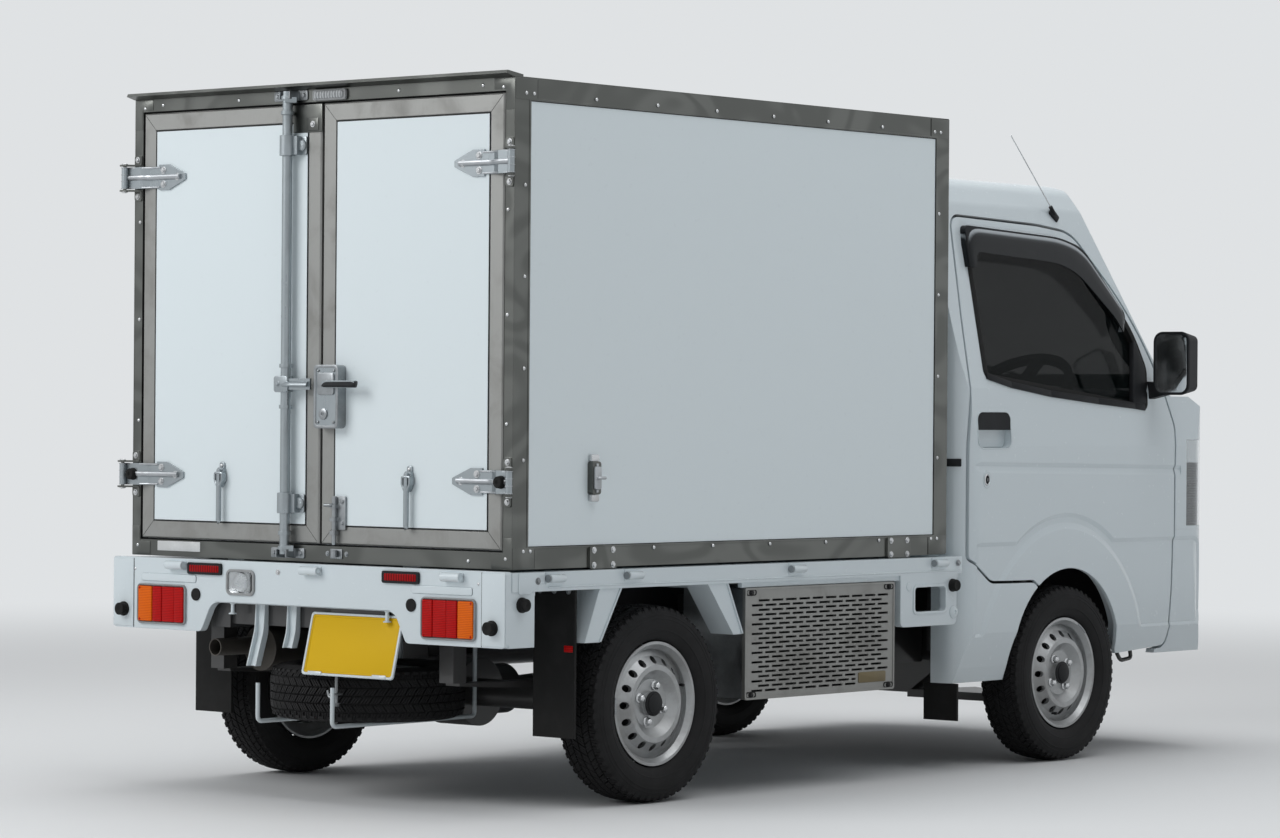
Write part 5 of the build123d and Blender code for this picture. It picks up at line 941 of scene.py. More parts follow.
# rear door frame: gasket, rivets, marker lamp, label, keepers
frameFace = boxRear
tube = {"y": 91.0, "out": 22, "clampsZ": (792, 1750), "ringsZ": (672, 712, 1838, 1878, 1050, 1160)}
lockBolt = {"y": -84, "out": 11, "guidesZ": (716, 752, 786)}
lockY, leverZ, boltY, boltX = tube["y"], 1111, lockBolt["y"], frameFace - lockBolt["out"]
marker = {"y": -50, "z": 1882, "lamps": 5, "pitch": 20}
gasket = Shape()
mouth = box((-680, 680), (680, 1865))
gasket.ring(grown(mouth, 0.2), grown(mouth, -2.2), "X", frameFace + 26, frameFace + 4, 0.8)
gasket.piece("door_gasket", "rubber", "chassis", "rubber")
frameRivets = Shape()
for y, z in ((-672, 1875), (-600, 1882), (672, 1875), (600, 1882), (-560, 655), (-690, 664), (690, 664),
             (-690, 1560), (690, 1560), (-690, 1290), (690, 1290), (-690, 1010), (690, 1010), (300, 1882),
             (-300, 1882)):
    frameRivets.rivet((frameFace, y, z), "X", rivetRadius, -rivetHeight)
frameRivets.piece("frame_rivets", "chrome", "chassis", "stainless_trim")
edges = Shape()
for sign in (-1, 1):
    # corner plates of the rear frame: end, inner edge and how far each reaches along the post
    for end, inner, reach in ((637, 676, 718), (1898, 1869, 1816)):
        edges.prism([(sign * 712, end), (sign * 640, end), (sign * 640, inner), (sign * 682, inner),
                     (sign * 682, reach), (sign * 712, reach)], "X", frameFace - 1.3, frameFace + 0.5, 0.6)
    edges.pipe([(frameFace + 0.5, sign * 711, 640), (frameFace + 0.5, sign * 711, 1897)], 1.6, 8)
edges.piece("frame_corners", "stainless", "chassis", "stainless_trim")
bezel = Shape()
bezel.prism(softBox(marker["y"], marker["z"], 124, 30, 8), "X", frameFace - 9, frameFace, 2.5)
bezel.piece("marker_bezel", "greyPlastic", "chassis", "black_plastic")
markerLens = Shape()
markerLens.prism(softBox(marker["y"], marker["z"], 108, 19, 6), "X", frameFace - 13, frameFace - 8, 2.0)
for step in range(marker["lamps"]):
    y = marker["y"] + marker["pitch"] * (step - marker["lamps"] // 2)
    markerLens.lathe([(6.5, 0), (6.5, 1.2), (3, 2.6), (0, 3)], (frameFace - 12.4, y, marker["z"]), "X", 16,
                     turned(z=180))
markerLens.piece("marker_lens", "lensWhite", "chassis", "lamp_clear")
label = Shape()
label.prism(softBox(525, 664, 170, 27, 2), "X", frameFace - 0.8, frameFace, 0.2)
label.piece("blank_label", "paper", "chassis", "white_panel")
keepers = Shape()
for z in (1885, 658):
    # keeper of the lock tube: base plate, two ears and its bolts
    keepers.prism(softBox(98, z, 126, 27, 5), "X", frameFace - 3.5, frameFace, 1.0)
    for out in (-1, 1):
        ear = [(frameFace - 36, z - 10), (frameFace, z - 13), (frameFace, z + 13), (frameFace - 36, z + 10)]
        keepers.prism(ear, "Y", lockY + out * 19 - 2, lockY + out * 19 + 2, 0.8)
    for y in (48, 148):
        keepers.bolt((frameFace - 3.5, y, z), "X", 6, -5)
# keeper of the slide bolt
keepers.prism(softBox(boltY, 660, 44, 26, 3), "X", frameFace - 3, frameFace, 0.8)
keepers.lathe([(9, 0), (9, 18), (6.6, 18), (6.6, 0), (9, 0)], (boltX, boltY, 652), "Z", 18)
for y in (-120, -50):
    keepers.bolt((frameFace, y, 660), "X", 5, -4)
keepers.piece("lock_keepers", "zinc", "chassis", "galvanised")

# what goes on the door leaves
hinge = {"levels": (861, 1682), "pinY": 724, "pinOut": 28, "bolts": ((592, 19), (592, -19), (536, 0))}
stayHook = {"y": 352, "top": 888, "pivotZ": 858, "footZ": 738}
leafEdge = 50    # width of the edge frame's face
for side, sign in sides:
    body = f"door_box_{side}"
    low, high = nodeBox(f"door_edge_{side}")
    panel = box((low.y + leafEdge, low.z + leafEdge), (high.y - leafEdge, high.z - leafEdge))
    leafLines = Shape()
    leafLines.ring(grown(panel, 1.4), grown(panel, -1.2), "X", frameFace + 1, frameFace - 0.7, 0.4)
    outer = box((low.y, low.z), (high.y, high.z))
    for (y0, z0), (y1, z1) in zip(outer, panel):
        # mitred corners of the edge frame
        over, up = (1 if y1 > y0 else -1), (1 if z1 > z0 else -1)
        leafLines.prism([(y0 + 5 * over, z0 + 5.6 * up), (y0 + 6 * over, z0 + 5 * up),
                         (y1 + 0.5 * over, z1), (y1, z1 + 0.6 * up)], "X", frameFace - 0.35, frameFace + 1)
    leafLines.piece(f"leaf_lines_{side}", "sealant", body, "rubber")
    hingeParts, bolts, buffers = Shape(), Shape(), Shape()
    for z in hinge["levels"]:
        # raised rib along the strap and the arrow leaf's pressed edge
        rib = [(frameFace - 6, sign * 524, z), (frameFace - 7, sign * 646, z),
               (frameFace - 19, sign * 668, z), (frameFace - 20, sign * 714, z)]
        hingeParts.pipe(bent(rib, 12), 6.5, 12, 1.3)
        for up in (-27, 27):
            pressed = [(frameFace - 5, sign * 606, z + up), (frameFace - 6, sign * 645, z + up),
                       (frameFace - 17, sign * 671, z + up), (frameFace - 18.5, sign * 716, z + up)]
            hingeParts.pipe(bent(pressed, 10), 2.4, 8)
        for level in (-31, -10, 10, 31):
            hingeParts.lathe([(9, -0.8), (10.6, -0.8), (10.6, 0.8), (9, 0.8), (9, -0.8)],
                             (frameFace - hinge["pinOut"], sign * hinge["pinY"], z + level * 0.93), "Z", 24)
        for y, up in hinge["bolts"]:
            bolts.bolt((frameFace - 5, sign * y, z + up), "X", 7, -6.5)
        if z == hinge["levels"][0]:
            # only the lower hinges carry a buffer
            buffers.lathe([(17, 0), (17, 3), (15.5, 5), (15.5, 14), (13.5, 17), (5, 17), (4, 15), (0, 15)],
                          (frameFace - 19, sign * 690, z), "X", 30, turned(z=180))
    # stay hook: domed bracket, fork round its pivot, shaft with a bent foot
    y, footZ = sign * stayHook["y"], stayHook["footZ"]
    hook = Shape()
    hook.prism(softBox(y, stayHook["top"], 19, 22, 8), "X", frameFace - 5, frameFace, 1.2)
    fork = curved([(y - 16, 872, 7), (y + 16, 872, 7), (y + 16, 848, 12), (y + 6, 830, 8), (y - 6, 830, 8),
                   (y - 16, 848, 12)])
    hook.ring(fork, grown(fork, -6), "X", frameFace - 3, frameFace - 20, -1.5)
    hook.lathe([(7.5, 0), (7.5, 3), (5, 6), (0, 7)], (frameFace - 12, y, stayHook["pivotZ"]), "X", 20,
               turned(z=180))
    hook.pipe([(frameFace - 16, y, 846), (frameFace - 16.5, y, 800), (frameFace - 16.5, y, footZ)], 7.4, 14)
    hook.pipe([(frameFace - 23, y - 10, footZ - 1), (frameFace - 12, y + 7, footZ - 6)], 3.4, 10)
    hook.piece(f"stay_hook_{side}", "zincTube", body, "galvanised")
    stayRivet = Shape().rivet((frameFace - 5, y, stayHook["top"] + 1), "X", 5, -4)
    stayRivet.piece(f"stay_rivet_{side}", "chrome", body, "galvanised")
    hingeParts.piece(f"hinge_ribs_{side}", "zincBright", body, "galvanised")
    bolts.piece(f"hinge_bolts_{side}", "chrome", body, "galvanised")
    buffers.piece(f"hinge_buffers_{side}", "rubber", body, "rubber")
# bolts of the hinge brackets and the heads of the hinge pins
brackets = Shape()
for side, sign in sides:
    for z in hinge["levels"]:
        for up in (-1, 1):
            brackets.bolt((frameFace - 4, sign * 697, z + up * 51), "X", 6, -5)
            pinEnd = (frameFace - hinge["pinOut"], sign * hinge["pinY"], z + up * 37.6)
            brackets.lathe([(9, 0), (9, 1.5), (6, 3.5), (0, 4)], pinEnd, "Z", 18,
                           None if up > 0 else turned(x=180))
brackets.piece("bracket_bolts", "chrome", "chassis", "galvanised")

# lock: tube, clamps, overlap plate and lever on the left leaf
tubeX = frameFace - tube["out"]
lockTube = Shape()
for z in tube["clampsZ"]:
    # clamp straps with their round slotted bolts
    outside, inside = ([(tubeX + radius * cos(2 * pi * i / 28), lockY + radius * sin(2 * pi * i / 28))
                        for i in range(28)] for radius in (21, 13.8))
    lockTube.ring(outside, inside, "Z", z - 27, z + 27, 1.0)
    lockTube.prism(softBox(lockY - 34, z, 44, 50, 5), "X", frameFace - 6, frameFace, 1.5)
    lockTube.lathe([(16, 0), (16, 5), (12.5, 8), (3, 8.4), (3, 7), (0, 7)], (frameFace - 6, lockY - 41, z),
                   "X", 28, turned(z=180))
    lockTube.block((frameFace - 14.4, lockY - 41, z), (1.6, 25, 3.2), 0.3)
for z in tube["ringsZ"]:
    lockTube.lathe([(13.4, -5), (17.5, -5), (17.5, 5), (13.4, 5), (13.4, -5)], (tubeX, lockY, z), "Z", 28)
for z in (1872, 671):
    # cam fingers that hook into the keepers
    lockTube.prism([(frameFace - 40, lockY - 8), (frameFace - 18, lockY - 30), (frameFace - 8, lockY - 22),
                    (frameFace - 26, lockY + 2)], "Z", z - 8, z + 8, 1.2)
lever = [(tubeX - 12, lockY - 4, leverZ), (tubeX - 22, lockY - 30, leverZ), (tubeX - 20, -12, leverZ)]
lockTube.pipe(bent(lever, 16), 9, 14, 0.62)
lockTube.prism(softBox(lockY, leverZ, 52, 44, 8), "X", tubeX - 20, tubeX - 15, 1.5)
lockTube.bolt((tubeX - 20, lockY + 12, leverZ), "X", 6, -4)
lockTube.piece("lock_tube_fittings", "zincTube", "door_box_left", "galvanised")
overlap = Shape()
overlap.prism(softBox(34, 1822, 108, 75, 3), "X", frameFace - 3, frameFace + 0.5, 0.8)
overlap.prism(softBox(14, 1806, 44, 34, 3), "X", frameFace - 5.5, frameFace - 2, 0.8)
overlap.piece("overlap_plate", "stainless", "door_box_left", "stainless_trim")
overlapBolt = Shape().bolt((frameFace - 5.5, 12, 1806), "X", 6, -5)
overlapBolt.piece("overlap_bolt", "chrome", "door_box_left", "galvanised")

# lock box, grip and slide bolt on the right leaf
lockBox = Shape()
lockBox.ring(softBox(-69, 1078, 90, 169, 13), softBox(-69, 1078, 74, 153, 9), "X",
             frameFace, frameFace - 31.5, -1.2)
lockBox.prism(softBox(-69, 1112, 62, 60, 9), "X", frameFace - 34, frameFace - 29, 2.0)
# its key cylinder and slot
lockBox.lathe([(15, 0), (15, 3), (12, 4.5), (5, 4.5), (5, 2.5), (0, 2.5)], (frameFace - 30, -60, 1032),
              "X", 28, turned(z=180))
lockBox.block((frameFace - 33.4, -60, 1032), (2, 2.6, 11), 0.4)
for y in (-98, -40):
    for z in (1010, 1147):
        lockBox.rivet((frameFace - 31, y, z), "X", 4, -2.5)
# slide bolt below it: base plate, rod, handle and guides
lockBox.prism(softBox(-97, 769, 47, 90, 4), "X", frameFace - 6.5, frameFace - 1, 1.0)
for y, z in ((-110, 800), (-110, 742), (boltY, 742)):
    lockBox.bolt((frameFace - 6.5, y, z), "X", 5, -4)
lockBox.pipe([(boltX, boltY, 690), (boltX, boltY, 812)], 6.6, 14)
handle = [(boltX, boltY, 790), (frameFace - 26, boltY, 790), (frameFace - 26, -62, 790)]
lockBox.pipe(bent(handle, 6), 4.6, 12)
for z in lockBolt["guidesZ"]:
    lockBox.ring(softBox(boltX, boltY, 22, 20, 6), softBox(boltX, boltY, 14, 13.6, 6), "Z",
                 z - 5, z + 5, 0.6)
lockBox.piece("lock_box_fittings", "zinc", "door_box_right", "galvanised")
grip = Shape()
gripPath = [(frameFace - 34, -66, leverZ), (frameFace - 41, -80, leverZ),
            (frameFace - 42, -176, leverZ), (frameFace - 36, -188, leverZ)]
grip.pipe(bent(gripPath, 12), 10.5, 16, 0.62)
grip.piece("lock_grip", "blackPlastic", "door_box_right", "black_plastic")
print("rear doors")


# cab: fittings are drawn flat and wrapped onto the doors' lean or the windscreen's bow
def doorSkin(z):
    # how far out the left door's skin stands at that height; it leans in above the belt
    lower = 737.0 - max(0.0, z - 950.0) * 0.0882
    return lower if z < 1120.0 else 722.0 - (z - 1120.0) * 0.2117


def screenSkin(y, z):
    # windscreen face, leaning back and bowed across
    return frontAxleX + 646.0 - 0.648 * (z - 1121.0) - y * y / 5200.0


def wrapped(shape):
    # shape drawn as (x, off the skin, z), laid on the left door
    for point in shape.points:
        point.y += doorSkin(point.z)
    return shape


def onScreen(shape):
    # shape drawn as (off the glass, y, z)
    for point in shape.points:
        off = point.x
        point.x = screenSkin(point.y, point.z) + off * 0.84
        point.z += off * 0.54
    return shape


# x from the front axle, z, corner radius
windowCorners = [(-417, 1158, 22), (-406, 1588, 40), (62, 1567, 500), (158, 1540, 110), (385, 1310, 300),
                 (428, 1190, 60), (408, 1072, 12), (350, 1077, 500)]
window = curved([(frontAxleX + dx, z, radius) for dx, z, radius in windowCorners], 10)
seal = Shape()
seal.ring(grown(window, 13), grown(window, -7), "Y", -17.5, 2.2, 1.2)
belt = Shape()
beltTop = [(-420, 1163), (-300, 1137.5), (-100, 1112.5), (150, 1092.5), (350, 1079), (404, 1074)]
for (dx0, z0), (dx1, z1) in zip(beltTop, beltTop[1:]):
    belt.prism([(frontAxleX + dx0, z0 + 4), (frontAxleX + dx0, z0 - 15), (frontAxleX + dx1, z1 - 15),
                (frontAxleX + dx1, z1 + 4)], "Y", -6, 5.5, 1.6)
# quarter sail behind the mirror
sail = Shape()
sail.prism(curved([(frontAxleX + 340, 1082, 4), (frontAxleX + 412, 1078, 12), (frontAxleX + 432, 1190, 40),
                   (frontAxleX + 396, 1290, 6)]), "Y", -12, 4.0, 1.4)
# handle: lips round the cup and the cup's floor
handleX, handleZ = frontAxleX - 400, 997
lips = Shape()
lips.ring(softBox(handleX, handleZ, 172, 112, 29), softBox(handleX, handleZ, 164, 104, 25), "Y",
          -1.5, 1.4, 0.8)
cup = Shape()
cup.prism(softBox(handleX, handleZ - 26, 158, 48, 20), "Y", -25.8, -24.6)
# rain visor over the side window
visorEdges = [
    # outer and inner edge, x from the front axle and z
    [(-435, 1478), (-435, 1609), (62, 1591), (178, 1562), (360, 1356), (320, 1301)],
    [(-402, 1478), (-396, 1525), (20, 1505), (120, 1477), (286, 1344), (314, 1302)],
]
# part of the way from the outer to the inner edge, height off the skin
visorSection = ((0.0, 1.0), (0.03, 9.0), (0.08, 15.5), (0.15, 20.6), (0.3, 23.4), (0.6, 24.4), (1.0, 24.2),
                (1.0, 20.4), (0.3, 20.4), (0.12, 12.0), (0.04, 1.0))


def resampled(path, count):
    # that many points, evenly spaced along a path
    lengths = [0.0]
    for before, after in zip(path, path[1:]):
        lengths.append(lengths[-1] + (after - before).length)
    points = []
    for step in range(count):
        along = lengths[-1] * step / (count - 1)
        index = max(i for i in range(len(path) - 1) if lengths[i] <= along + 1e-6)
        part = (along - lengths[index]) / (lengths[index + 1] - lengths[index])
        points.append(path[index].lerp(path[index + 1], part))
    return points


visorSteps = 64
outerEdge, innerEdge = (resampled(bent([Vector(point) for point in edge], 70), visorSteps)
                        for edge in visorEdges)
rows = []
for outer, inner in zip(outerEdge, innerEdge):
    for share, off in visorSection:
        point = outer.lerp(inner, share)
        rows.append((frontAxleX + point.x, off, point.y))
around = len(visorSection)
visorEnds = [tuple(range(around)), tuple(range((visorSteps - 1) * around, visorSteps * around))]
visor = Shape().take(rows, strips(visorSteps, around) + visorEnds)
# key cylinder, its oval rim and its keyhole
lockX, lockZ, oval = 397.5, 852, 0.78
lock = Shape()
lock.lathe([(17, 0), (17, 2), (13.5, 4), (12.5, 3), (12.5, 0)], (lockX, -0.5, lockZ), "Y", 30)
lock.block((lockX, 3.2, lockZ), (2, 1.2, 9), 0.3)
lockRim = Shape().lathe([(26, -1), (26, 0.8), (23, 2.2), (17, 0.4), (17, -1)], (lockX, 0, lockZ), "Y", 36)
keyhole = Shape().lathe([(12.5, 0), (12.5, 2.2), (9, 3.2), (0, 3.4)], (lockX, -0.5, lockZ), "Y", 30)
for part in (lock, keyhole, lockRim):
    for point in part.points:
        point.x = lockX + (point.x - lockX) * oval
# mirror: glass and the rim round it
mirror = Shape()
mirrorX, mirrorY, mirrorZ = frontAxleX + 400, 829.0, 1205
mirror.prism(softBox(mirrorY, mirrorZ, 116, 182, 26), "X", mirrorX - 1.5, mirrorX + 2, 0.8)
mirrorRim = Shape()
mirrorRim.ring(softBox(mirrorY, mirrorZ, 128, 194, 31), softBox(mirrorY, mirrorZ, 114, 180, 25), "X",
               mirrorX + 4, mirrorX - 4.5, -1.0)
doorPieces = (
    # shape, name, finish, slot
    (wrapped(seal), "window_seal", "rubber", "rubber"),
    (wrapped(belt), "belt_strip", "blackPlastic", "black_plastic"),
    (wrapped(sail), "mirror_sail", "blackPlastic", "black_plastic"),
    (wrapped(lips), "handle_lip", "white", "white_paint"),
    (wrapped(visor), "visor_face", "smoked", "black_plastic"),
    (wrapped(cup), "handle_cup", "white", "white_paint"),
    (wrapped(lock), "door_lock", "chrome", "stainless_trim"),
    (wrapped(lockRim), "lock_rim", "white", "white_paint"),
    (wrapped(keyhole), "keyhole", "dark", "black_plastic"),
    (mirror, "mirror_glass", "mirror", "stainless_trim"),
    (mirrorRim, "mirror_rim", "blackPlastic", "black_plastic"),
)
for side, sign in sides:
    for shape, name, finish, slot in doorPieces:
        onSide(shape, sign).piece(f"{name}_{side}", finish, f"door_cab_{side}", slot)

# plugs on the rear pillars, set square to the pillar's rounded corner
cabBack = nodeBox("cab_shell")[0].x
plug = Shape()
angle, cornerRadius = radians(25), 89.5
plugSpot = Vector((cabBack + 90 - cornerRadius * cos(angle), 647 + cornerRadius * sin(angle), 902))
plug.block((-1.2, 0, 0), (5, 58, 23), 2.2)
pillarPlug = Shape().take(plug.points, plug.faces, plugSpot, turned(z=-25))
for side, sign in sides:
    onSide(pillarPlug, sign).piece(f"pillar_plug_{side}", "blackPlastic", "chassis", "black_plastic")

# antenna on the right pillar
antenna = Shape()
antennaFoot = Vector((912, -doorSkin(1650) - 2, 1652))
antenna.block(antennaFoot, (46, 14, 22), 5, turned(y=38))
antenna.pipe([antennaFoot + Vector((-6, -6, 4)), antennaFoot + Vector((-28, -7, 25))], 6.0, 12)
antenna.piece("antenna_foot", "blackPlastic", "chassis", "black_plastic")
whip = Shape().pipe([antennaFoot + Vector((-20, -7, 18)), antennaFoot + Vector((-236, -4, 232))], 1.8, 8)
whip.piece("antenna_whip", "chrome", "chassis", "stainless_trim")

# windscreen: its seal, and the wipers with their arms
screenLine = curved([(-640, 1149, 50), (640, 1149, 50), (545, 1653, 70), (-545, 1653, 70)], 8)
screenSeal = Shape()
# points close enough together to follow the glass's bow
dense = []
for (y0, z0), (y1, z1) in zip(screenLine, screenLine[1:] + screenLine[:1]):
    parts = max(1, int(hypot(y1 - y0, z1 - z0) / 60))
    dense += [(y0 + (y1 - y0) * part / parts, z0 + (z1 - z0) * part / parts) for part in range(parts)]
screenSeal.ring(grown(dense, 15), grown(dense, -24), "X", -10, 2.4, 1.2)
onScreen(screenSeal).piece("windscreen_seal", "rubber", "chassis", "rubber")
wipers = Shape()
for y in (-330, 250):
    foot, tip = Vector((10, y, 1112)), Vector((9, y + 330, 1190))
    middle = foot.lerp(tip, 0.62)
    wipers.pipe([foot, foot.lerp(middle, 0.3), middle], 5.5, 10, 0.6)
    wipers.pipe([Vector((6, y - 60, 1160)), middle, Vector((6, y + 400, 1212))], 4.0, 8)
    wipers.lathe([(15, 0), (15, 8), (9, 16), (0, 17)], foot + Vector((-4, 0, 0)), "X", 18)
onScreen(wipers).piece("wipers", "blackPlastic", "chassis", "black_plastic")


# headlamps: clear cover, ribbed shell behind it, reflector bowls with their bulbs
def lampSheet(sign, near, far, beyond=0.0):
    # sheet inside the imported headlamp's outer face, near to far deep, only beyond a distance across
    solid = bmesh.new()
    solid.from_mesh(nodes["headlamps"].data)
    bmesh.ops.remove_doubles(solid, verts=solid.verts[:], dist=1e-5)
    hidden = [face for face in solid.faces if face.calc_center_median().y * sign < beyond * mm
              or max(face.normal.x, face.normal.y * sign) < 0.2]
    bmesh.ops.delete(solid, geom=hidden, context="FACES")
    solid.normal_update()
    solid.verts.index_update()
    count = len(solid.verts)
    points = [vert.co / mm - vert.normal * depth for depth in (near, far) for vert in solid.verts]
    faces = [tuple(vert.index + shift for vert in face.verts)
             for shift in (0, count) for face in solid.faces]
    for edge in solid.edges:
        if edge.is_boundary:
            a, b = (vert.index for vert in edge.verts)
            faces.append((a, b, b + count, a + count))
    solid.free()
    return Shape().take(points, faces)


lampBowls = (
    # rim radius, depth, place of the rim's centre, turned outwards
    (62, 34, (1632, 511, 886), 6),
    (36, 28, (1622, 612, 900), 10),
    (40, 30, (1634, 494, 754), 6),
    (36, 28, (1623, 590, 754), 9),
)
for side, sign in sides:
    cover = lampSheet(sign, 0.0, 2.5).piece(f"headlamp_cover_{side}", "lampClear", "chassis", "lamp_clear")
    lampSheet(sign, 43.0, 46.0).piece(f"headlamp_shell_{side}", "lampShell", "chassis", "black_plastic")
    lampSheet(sign, 6.0, 8.0, 640.0).piece(f"headlamp_ribs_{side}", "lampShell", "chassis", "black_plastic")
    bowls, bulbs = Shape(), Shape()
    for radius, depth, (x, y, z), outwards in lampBowls:
        spot, facing = (x, sign * y, z), turned(z=sign * outwards)
        inside = [(radius * share, -depth * (1 - share * share)) for share in (0.16, 0.35, 0.55, 0.75, 0.9)]
        rim = [(radius - 2, 0), (radius, 1), (radius + 3, 0), (radius + 3, -4)]
        back = [(share * radius + 3, -depth * (1 - share * share) - 3) for share in (0.9, 0.6, 0.3)]
        bowls.lathe([(0, -depth)] + inside + rim + back + [(0, -depth - 3)], spot, "X", 40, facing)
        bulbs.lathe([(7, -depth), (7, -depth + 9), (4.5, -depth + 11), (4.5, -depth + 24),
                     (0, -depth + 27)], spot, "X", 16, facing)
    bowls.piece(f"headlamp_bowls_{side}", "chrome", "chassis", "stainless_trim", 25.0)
    bulbs.piece(f"headlamp_bulbs_{side}", "lampClear", "chassis", "lamp_clear")
    if sign > 0:
        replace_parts(cover, "headlamps")
print("cab")


# seats: crowned cushions with sewn channels
def cushion(size, crownRise, channels, cross):
    # crowned pad; channels run along its length, cross ones over its width, as parts of the half size
    solid = bmesh.new()
    bmesh.ops.create_cube(solid, size=2.0)
    bmesh.ops.subdivide_edges(solid, edges=solid.edges[:], cuts=31, use_grid_fill=True)
    for vert in solid.verts:
        u, v, w = vert.co
        # round the edges, then crown the faces
        pinch = 1.0 - 0.10 * (abs(u) ** 6 * abs(v) ** 6 + abs(v) ** 6 * abs(w) ** 6
                              + abs(u) ** 6 * abs(w) ** 6)
        side = 1.0 - 0.06 * w * w
        rise = (1.0 + crownRise * (1 - abs(u) ** 4) * (1 - abs(v) ** 4)) / (1.0 + crownRise)
        groove = 0.0
        for place in channels:
            groove = max(groove, exp(-((v - place) / 0.022) ** 2))
        for place in cross:
            groove = max(groove, exp(-((u - place) / 0.022) ** 2))
        seam = exp(-((w - 0.55) / 0.05) ** 2)
        shrink = 1.0 - 0.018 * seam
        vert.co = Vector((u * pinch * side * shrink * size[0] / 2, v * pinch * side * shrink * size[1] / 2,
                          w * pinch * size[2] / 2 * rise - (groove * 7.0 if w > 0.5 else 0.0)))
    return Shape().pour(solid)


seatX = nodeBox("seats")[0].x
seatY, seatZ = 335, 662
cushions = (
    # name, size, crown, channels, cross seams, place from the seat's rear foot, tilt
    ("seat_base", (540, 488, 136), 0.16, (-0.62, 0.62), (-0.35, 0.1, 0.5), (268, 92), 3.0),
    ("seat_back", (560, 476, 108), 0.18, (-0.60, 0.60), (-0.5, 0.0, 0.5), (112, 395), 82.0),
    ("head_rest", (172, 270, 96), 0.25, (), (0.0,), (66, 772), 87.0),
)
for side, sign in sides:
    for name, size, rise, channels, cross, (dx, dz), tilt in cushions:
        pad = cushion(size, rise, channels, cross)
        spot = Vector((seatX + dx, sign * seatY, seatZ + dz))
        whole = Shape().take(pad.points, pad.faces, spot, turned(y=tilt))
        made = whole.piece(f"{name}_{side}", "cloth", "chassis", "seat_cloth", 60.0)
        if name == "seat_base":
            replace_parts(made, "seats")
    seatFrame = Shape()
    seatFrame.block((seatX + 250, sign * seatY, 650), (430, 400, 56), 10)
    for out in (-70, 70):
        seatFrame.lathe([(7, 0), (7, 90), (0, 90)], (seatX + 62, sign * seatY + out, 1300), "Z", 14)
    seatFrame.piece(f"seat_frame_{side}", "blackPlastic", "chassis", "seat_cloth")
print("seats")

# underside and flaps
flapX = rearAxleX - 339
tag = Shape()
tag.prism(softBox(692, 424, 30, 17, 2), "X", flapX - 2, flapX - 0.4, 0.4)
tag.mirrored().piece("flap_tag", "lampRed", "chassis", "lamp_red")
flapBolts = Shape()
for side, sign in sides:
    for y in (590, 640, 690):
        flapBolts.bolt((flapX, sign * y, 575), "X", 6, -5)
flapBolts.piece("flap_bolts", "zinc", "chassis", "galvanised")
towX = rearAxleX + 2383
eye = [(towX - 40, -590, 330), (towX + 60, -590, 318), (towX + 70, -590, 282), (towX + 10, -590, 276),
       (towX - 10, -590, 300)]
Shape().pipe(bent(eye, 14), 6.5, 12).piece("tow_hook", "chassisBlack", "chassis", "chassis_black")
# lines along the frame, and the spare's hanger
underside = Shape()
for y, z in ((-296, 470), (-296, 486), (296, 480)):
    run = [(rearAxleX - 500, y, z), (rearAxleX + 300, y, z), (rearAxleX + 1500, y * 0.98, z)]
    underside.pipe(bent(run, 60), 4, 8)
hangerX = tailFace + 33
hanger = [(hangerX, -128, 470), (hangerX, -128, 405), (hangerX - 27, -128, 350), (hangerX - 27, -128, 262)]
underside.pipe(bent(hanger, 20), 4.5, 10)
underside.bolt((hangerX - 27, -128, 268), "Z", 8, -9)
underside.block((hangerX - 38, -134, 292), (34, 26, 5), 1.5)
latch = [(hangerX - 27, -120, 282), (hangerX - 27, -100, 282), (hangerX - 27, -96, 300)]
underside.pipe(bent(latch, 8), 4, 10)
underside.piece("frame_lines", "zinc", "chassis", "galvanised")
print("underside")

# studio
studio = {
    "floorHalf": 60.0,       # metres
    "floorColour": (0.74, 0.75, 0.755),
    "backColour": (0.74, 0.76, 0.775),
    "fadeFrom": 2.6,
    "fadeOver": 8.0,
    "skyStrength": 0.24,
    "lamps": [
        # name, place, aim, width, height, power, colour
        ("keyRear", (-7.5, 3.0, 5.0), (-1.2, 0.0, 0.9), 5.0, 4.0, 290.0, (1.0, 1.0, 1.0)),
        ("fillRight", (-0.5, -4.8, 7.6), (0.2, -0.6, 0.7), 7.0, 4.0, 118.0, (0.97, 0.985, 1.0)),
        ("topSoft", (0.5, 0.5, 7.5), (0.0, 0.0, 0.5), 6.0, 6.0, 290.0, (1.0, 1.0, 1.0)),
    ],
}

floorMesh = bpy.data.meshes.new("studio_floor")
half = studio["floorHalf"]
floorMesh.from_pydata([(-half, -half, 0), (half, -half, 0), (half, half, 0), (-half, half, 0)], [],
                      [(0, 1, 2, 3)])
floorObject = bpy.data.objects.new("studio_floor", floorMesh)
bpy.context.scene.collection.objects.link(floorObject)
look = Finish("pale_floor")
flat = look.node("VectorMath", {"operation": "LENGTH"}, {0: look.place}, out="Value")
away = flat.over(studio["fadeFrom"], studio["fadeOver"])
mat = look.node("BsdfPrincipled", None, {"Base Color": studio["floorColour"], "Roughness": 0.75})
glow = look.node("Emission", None, {"Color": studio["backColour"]})
mixed = look.node("MixShader", None, {0: away, 1: mat, 2: glow})
look.node("OutputMaterial", None, {"Surface": mixed})
floorMesh.materials.append(look.material)

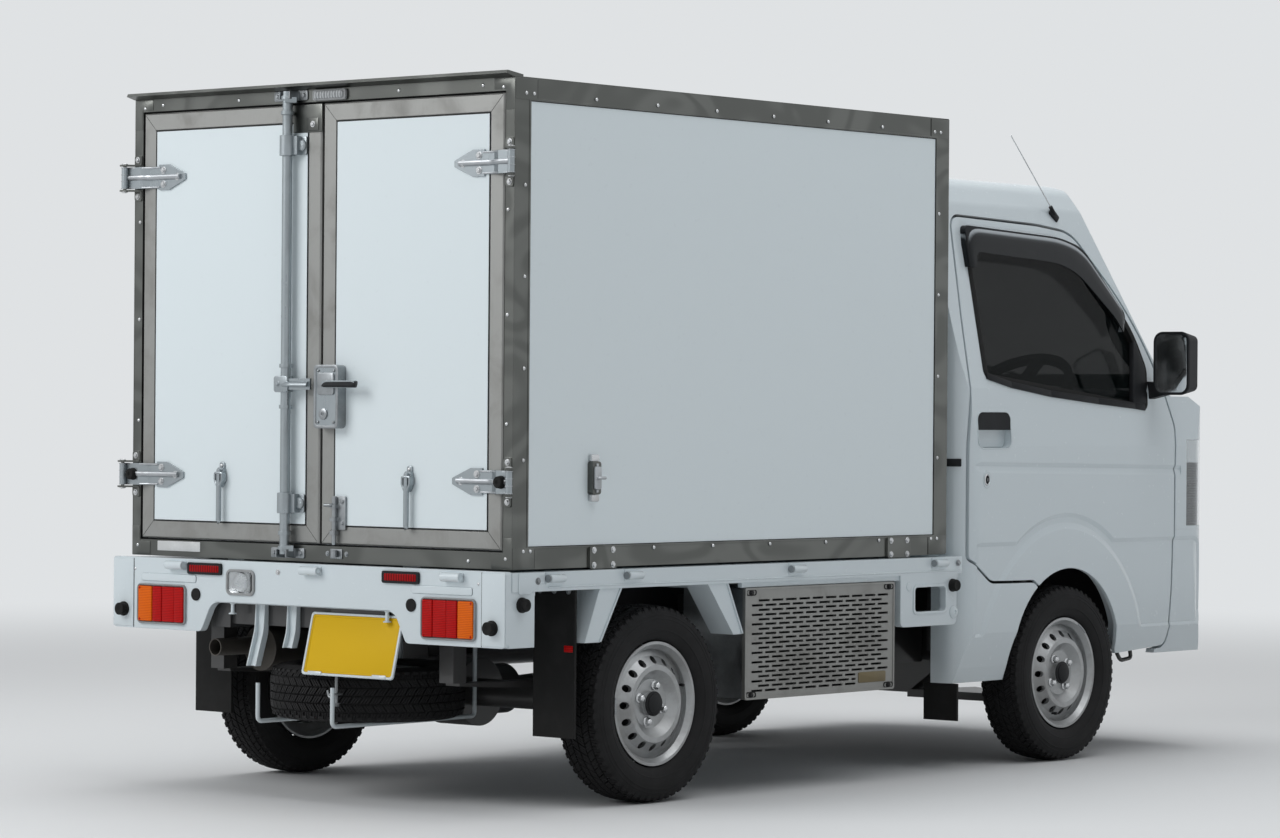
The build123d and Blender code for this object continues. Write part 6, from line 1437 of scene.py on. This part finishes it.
world = bpy.data.worlds.new("studio_world")
bpy.context.scene.world = world
world.use_nodes = True
tree = world.node_tree
tree.nodes.clear()
rays = tree.nodes.new("ShaderNodeLightPath")
seen = tree.nodes.new("ShaderNodeMath")
seen.operation = "MAXIMUM"
tree.links.new(rays.outputs["Is Camera Ray"], seen.inputs[0])
tree.links.new(rays.outputs["Is Glossy Ray"], seen.inputs[1])
through = tree.nodes.new("ShaderNodeMath")
through.operation = "MAXIMUM"
tree.links.new(seen.outputs[0], through.inputs[0])
tree.links.new(rays.outputs["Is Transmission Ray"], through.inputs[1])
lighting = tree.nodes.new("ShaderNodeBackground")
lighting.inputs["Color"].default_value = (0.93, 0.96, 1.0, 1)
lighting.inputs["Strength"].default_value = studio["skyStrength"]
backdrop = tree.nodes.new("ShaderNodeBackground")
backdrop.inputs["Color"].default_value = (*studio["backColour"], 1)
choose = tree.nodes.new("ShaderNodeMixShader")
tree.links.new(through.outputs[0], choose.inputs[0])
tree.links.new(lighting.outputs[0], choose.inputs[1])
tree.links.new(backdrop.outputs[0], choose.inputs[2])
worldOut = tree.nodes.new("ShaderNodeOutputWorld")
tree.links.new(choose.outputs[0], worldOut.inputs[0])

for name, place, aim, width, height, power, colour in studio["lamps"]:
    lampData = bpy.data.lights.new(name, "AREA")
    lampData.shape = "RECTANGLE"
    lampData.size, lampData.size_y = width, height
    lampData.energy = power
    lampData.color = colour
    lamp = bpy.data.objects.new(name, lampData)
    bpy.context.scene.collection.objects.link(lamp)
    lamp.location = place
    lamp.rotation_euler = (Vector(aim) - Vector(place)).to_track_quat("-Z", "Y").to_euler()
print("studio")

# camera, standing behind the truck's right rear corner
cameraSetup = {"place": (-9.4225, -7.743, 1.047), "yaw": 40.355, "pitch": -0.117, "roll": 0.435,
               "lens": 115.16}
yaw, pitch, roll = (radians(cameraSetup[key]) for key in ("yaw", "pitch", "roll"))
ahead = Vector((cos(yaw) * cos(pitch), sin(yaw) * cos(pitch), sin(pitch)))
right = ahead.cross(Vector((0, 0, 1))).normalized()
up = right.cross(ahead)
rolledRight = right * cos(roll) + up * sin(roll)
rolledUp = up * cos(roll) - right * sin(roll)
cameraData = bpy.data.cameras.new("view")
cameraData.sensor_width = 36.0
cameraData.lens = cameraSetup["lens"]
camera = bpy.data.objects.new("view", cameraData)
bpy.context.scene.collection.objects.link(camera)
cameraTurn = Matrix((rolledRight, rolledUp, -ahead)).transposed().to_4x4()
camera.matrix_world = Matrix.Translation(Vector(cameraSetup["place"])) @ cameraTurn
bpy.context.scene.camera = camera
bpy.context.scene.view_settings.view_transform = "Standard"

bpy.context.view_layer.update()
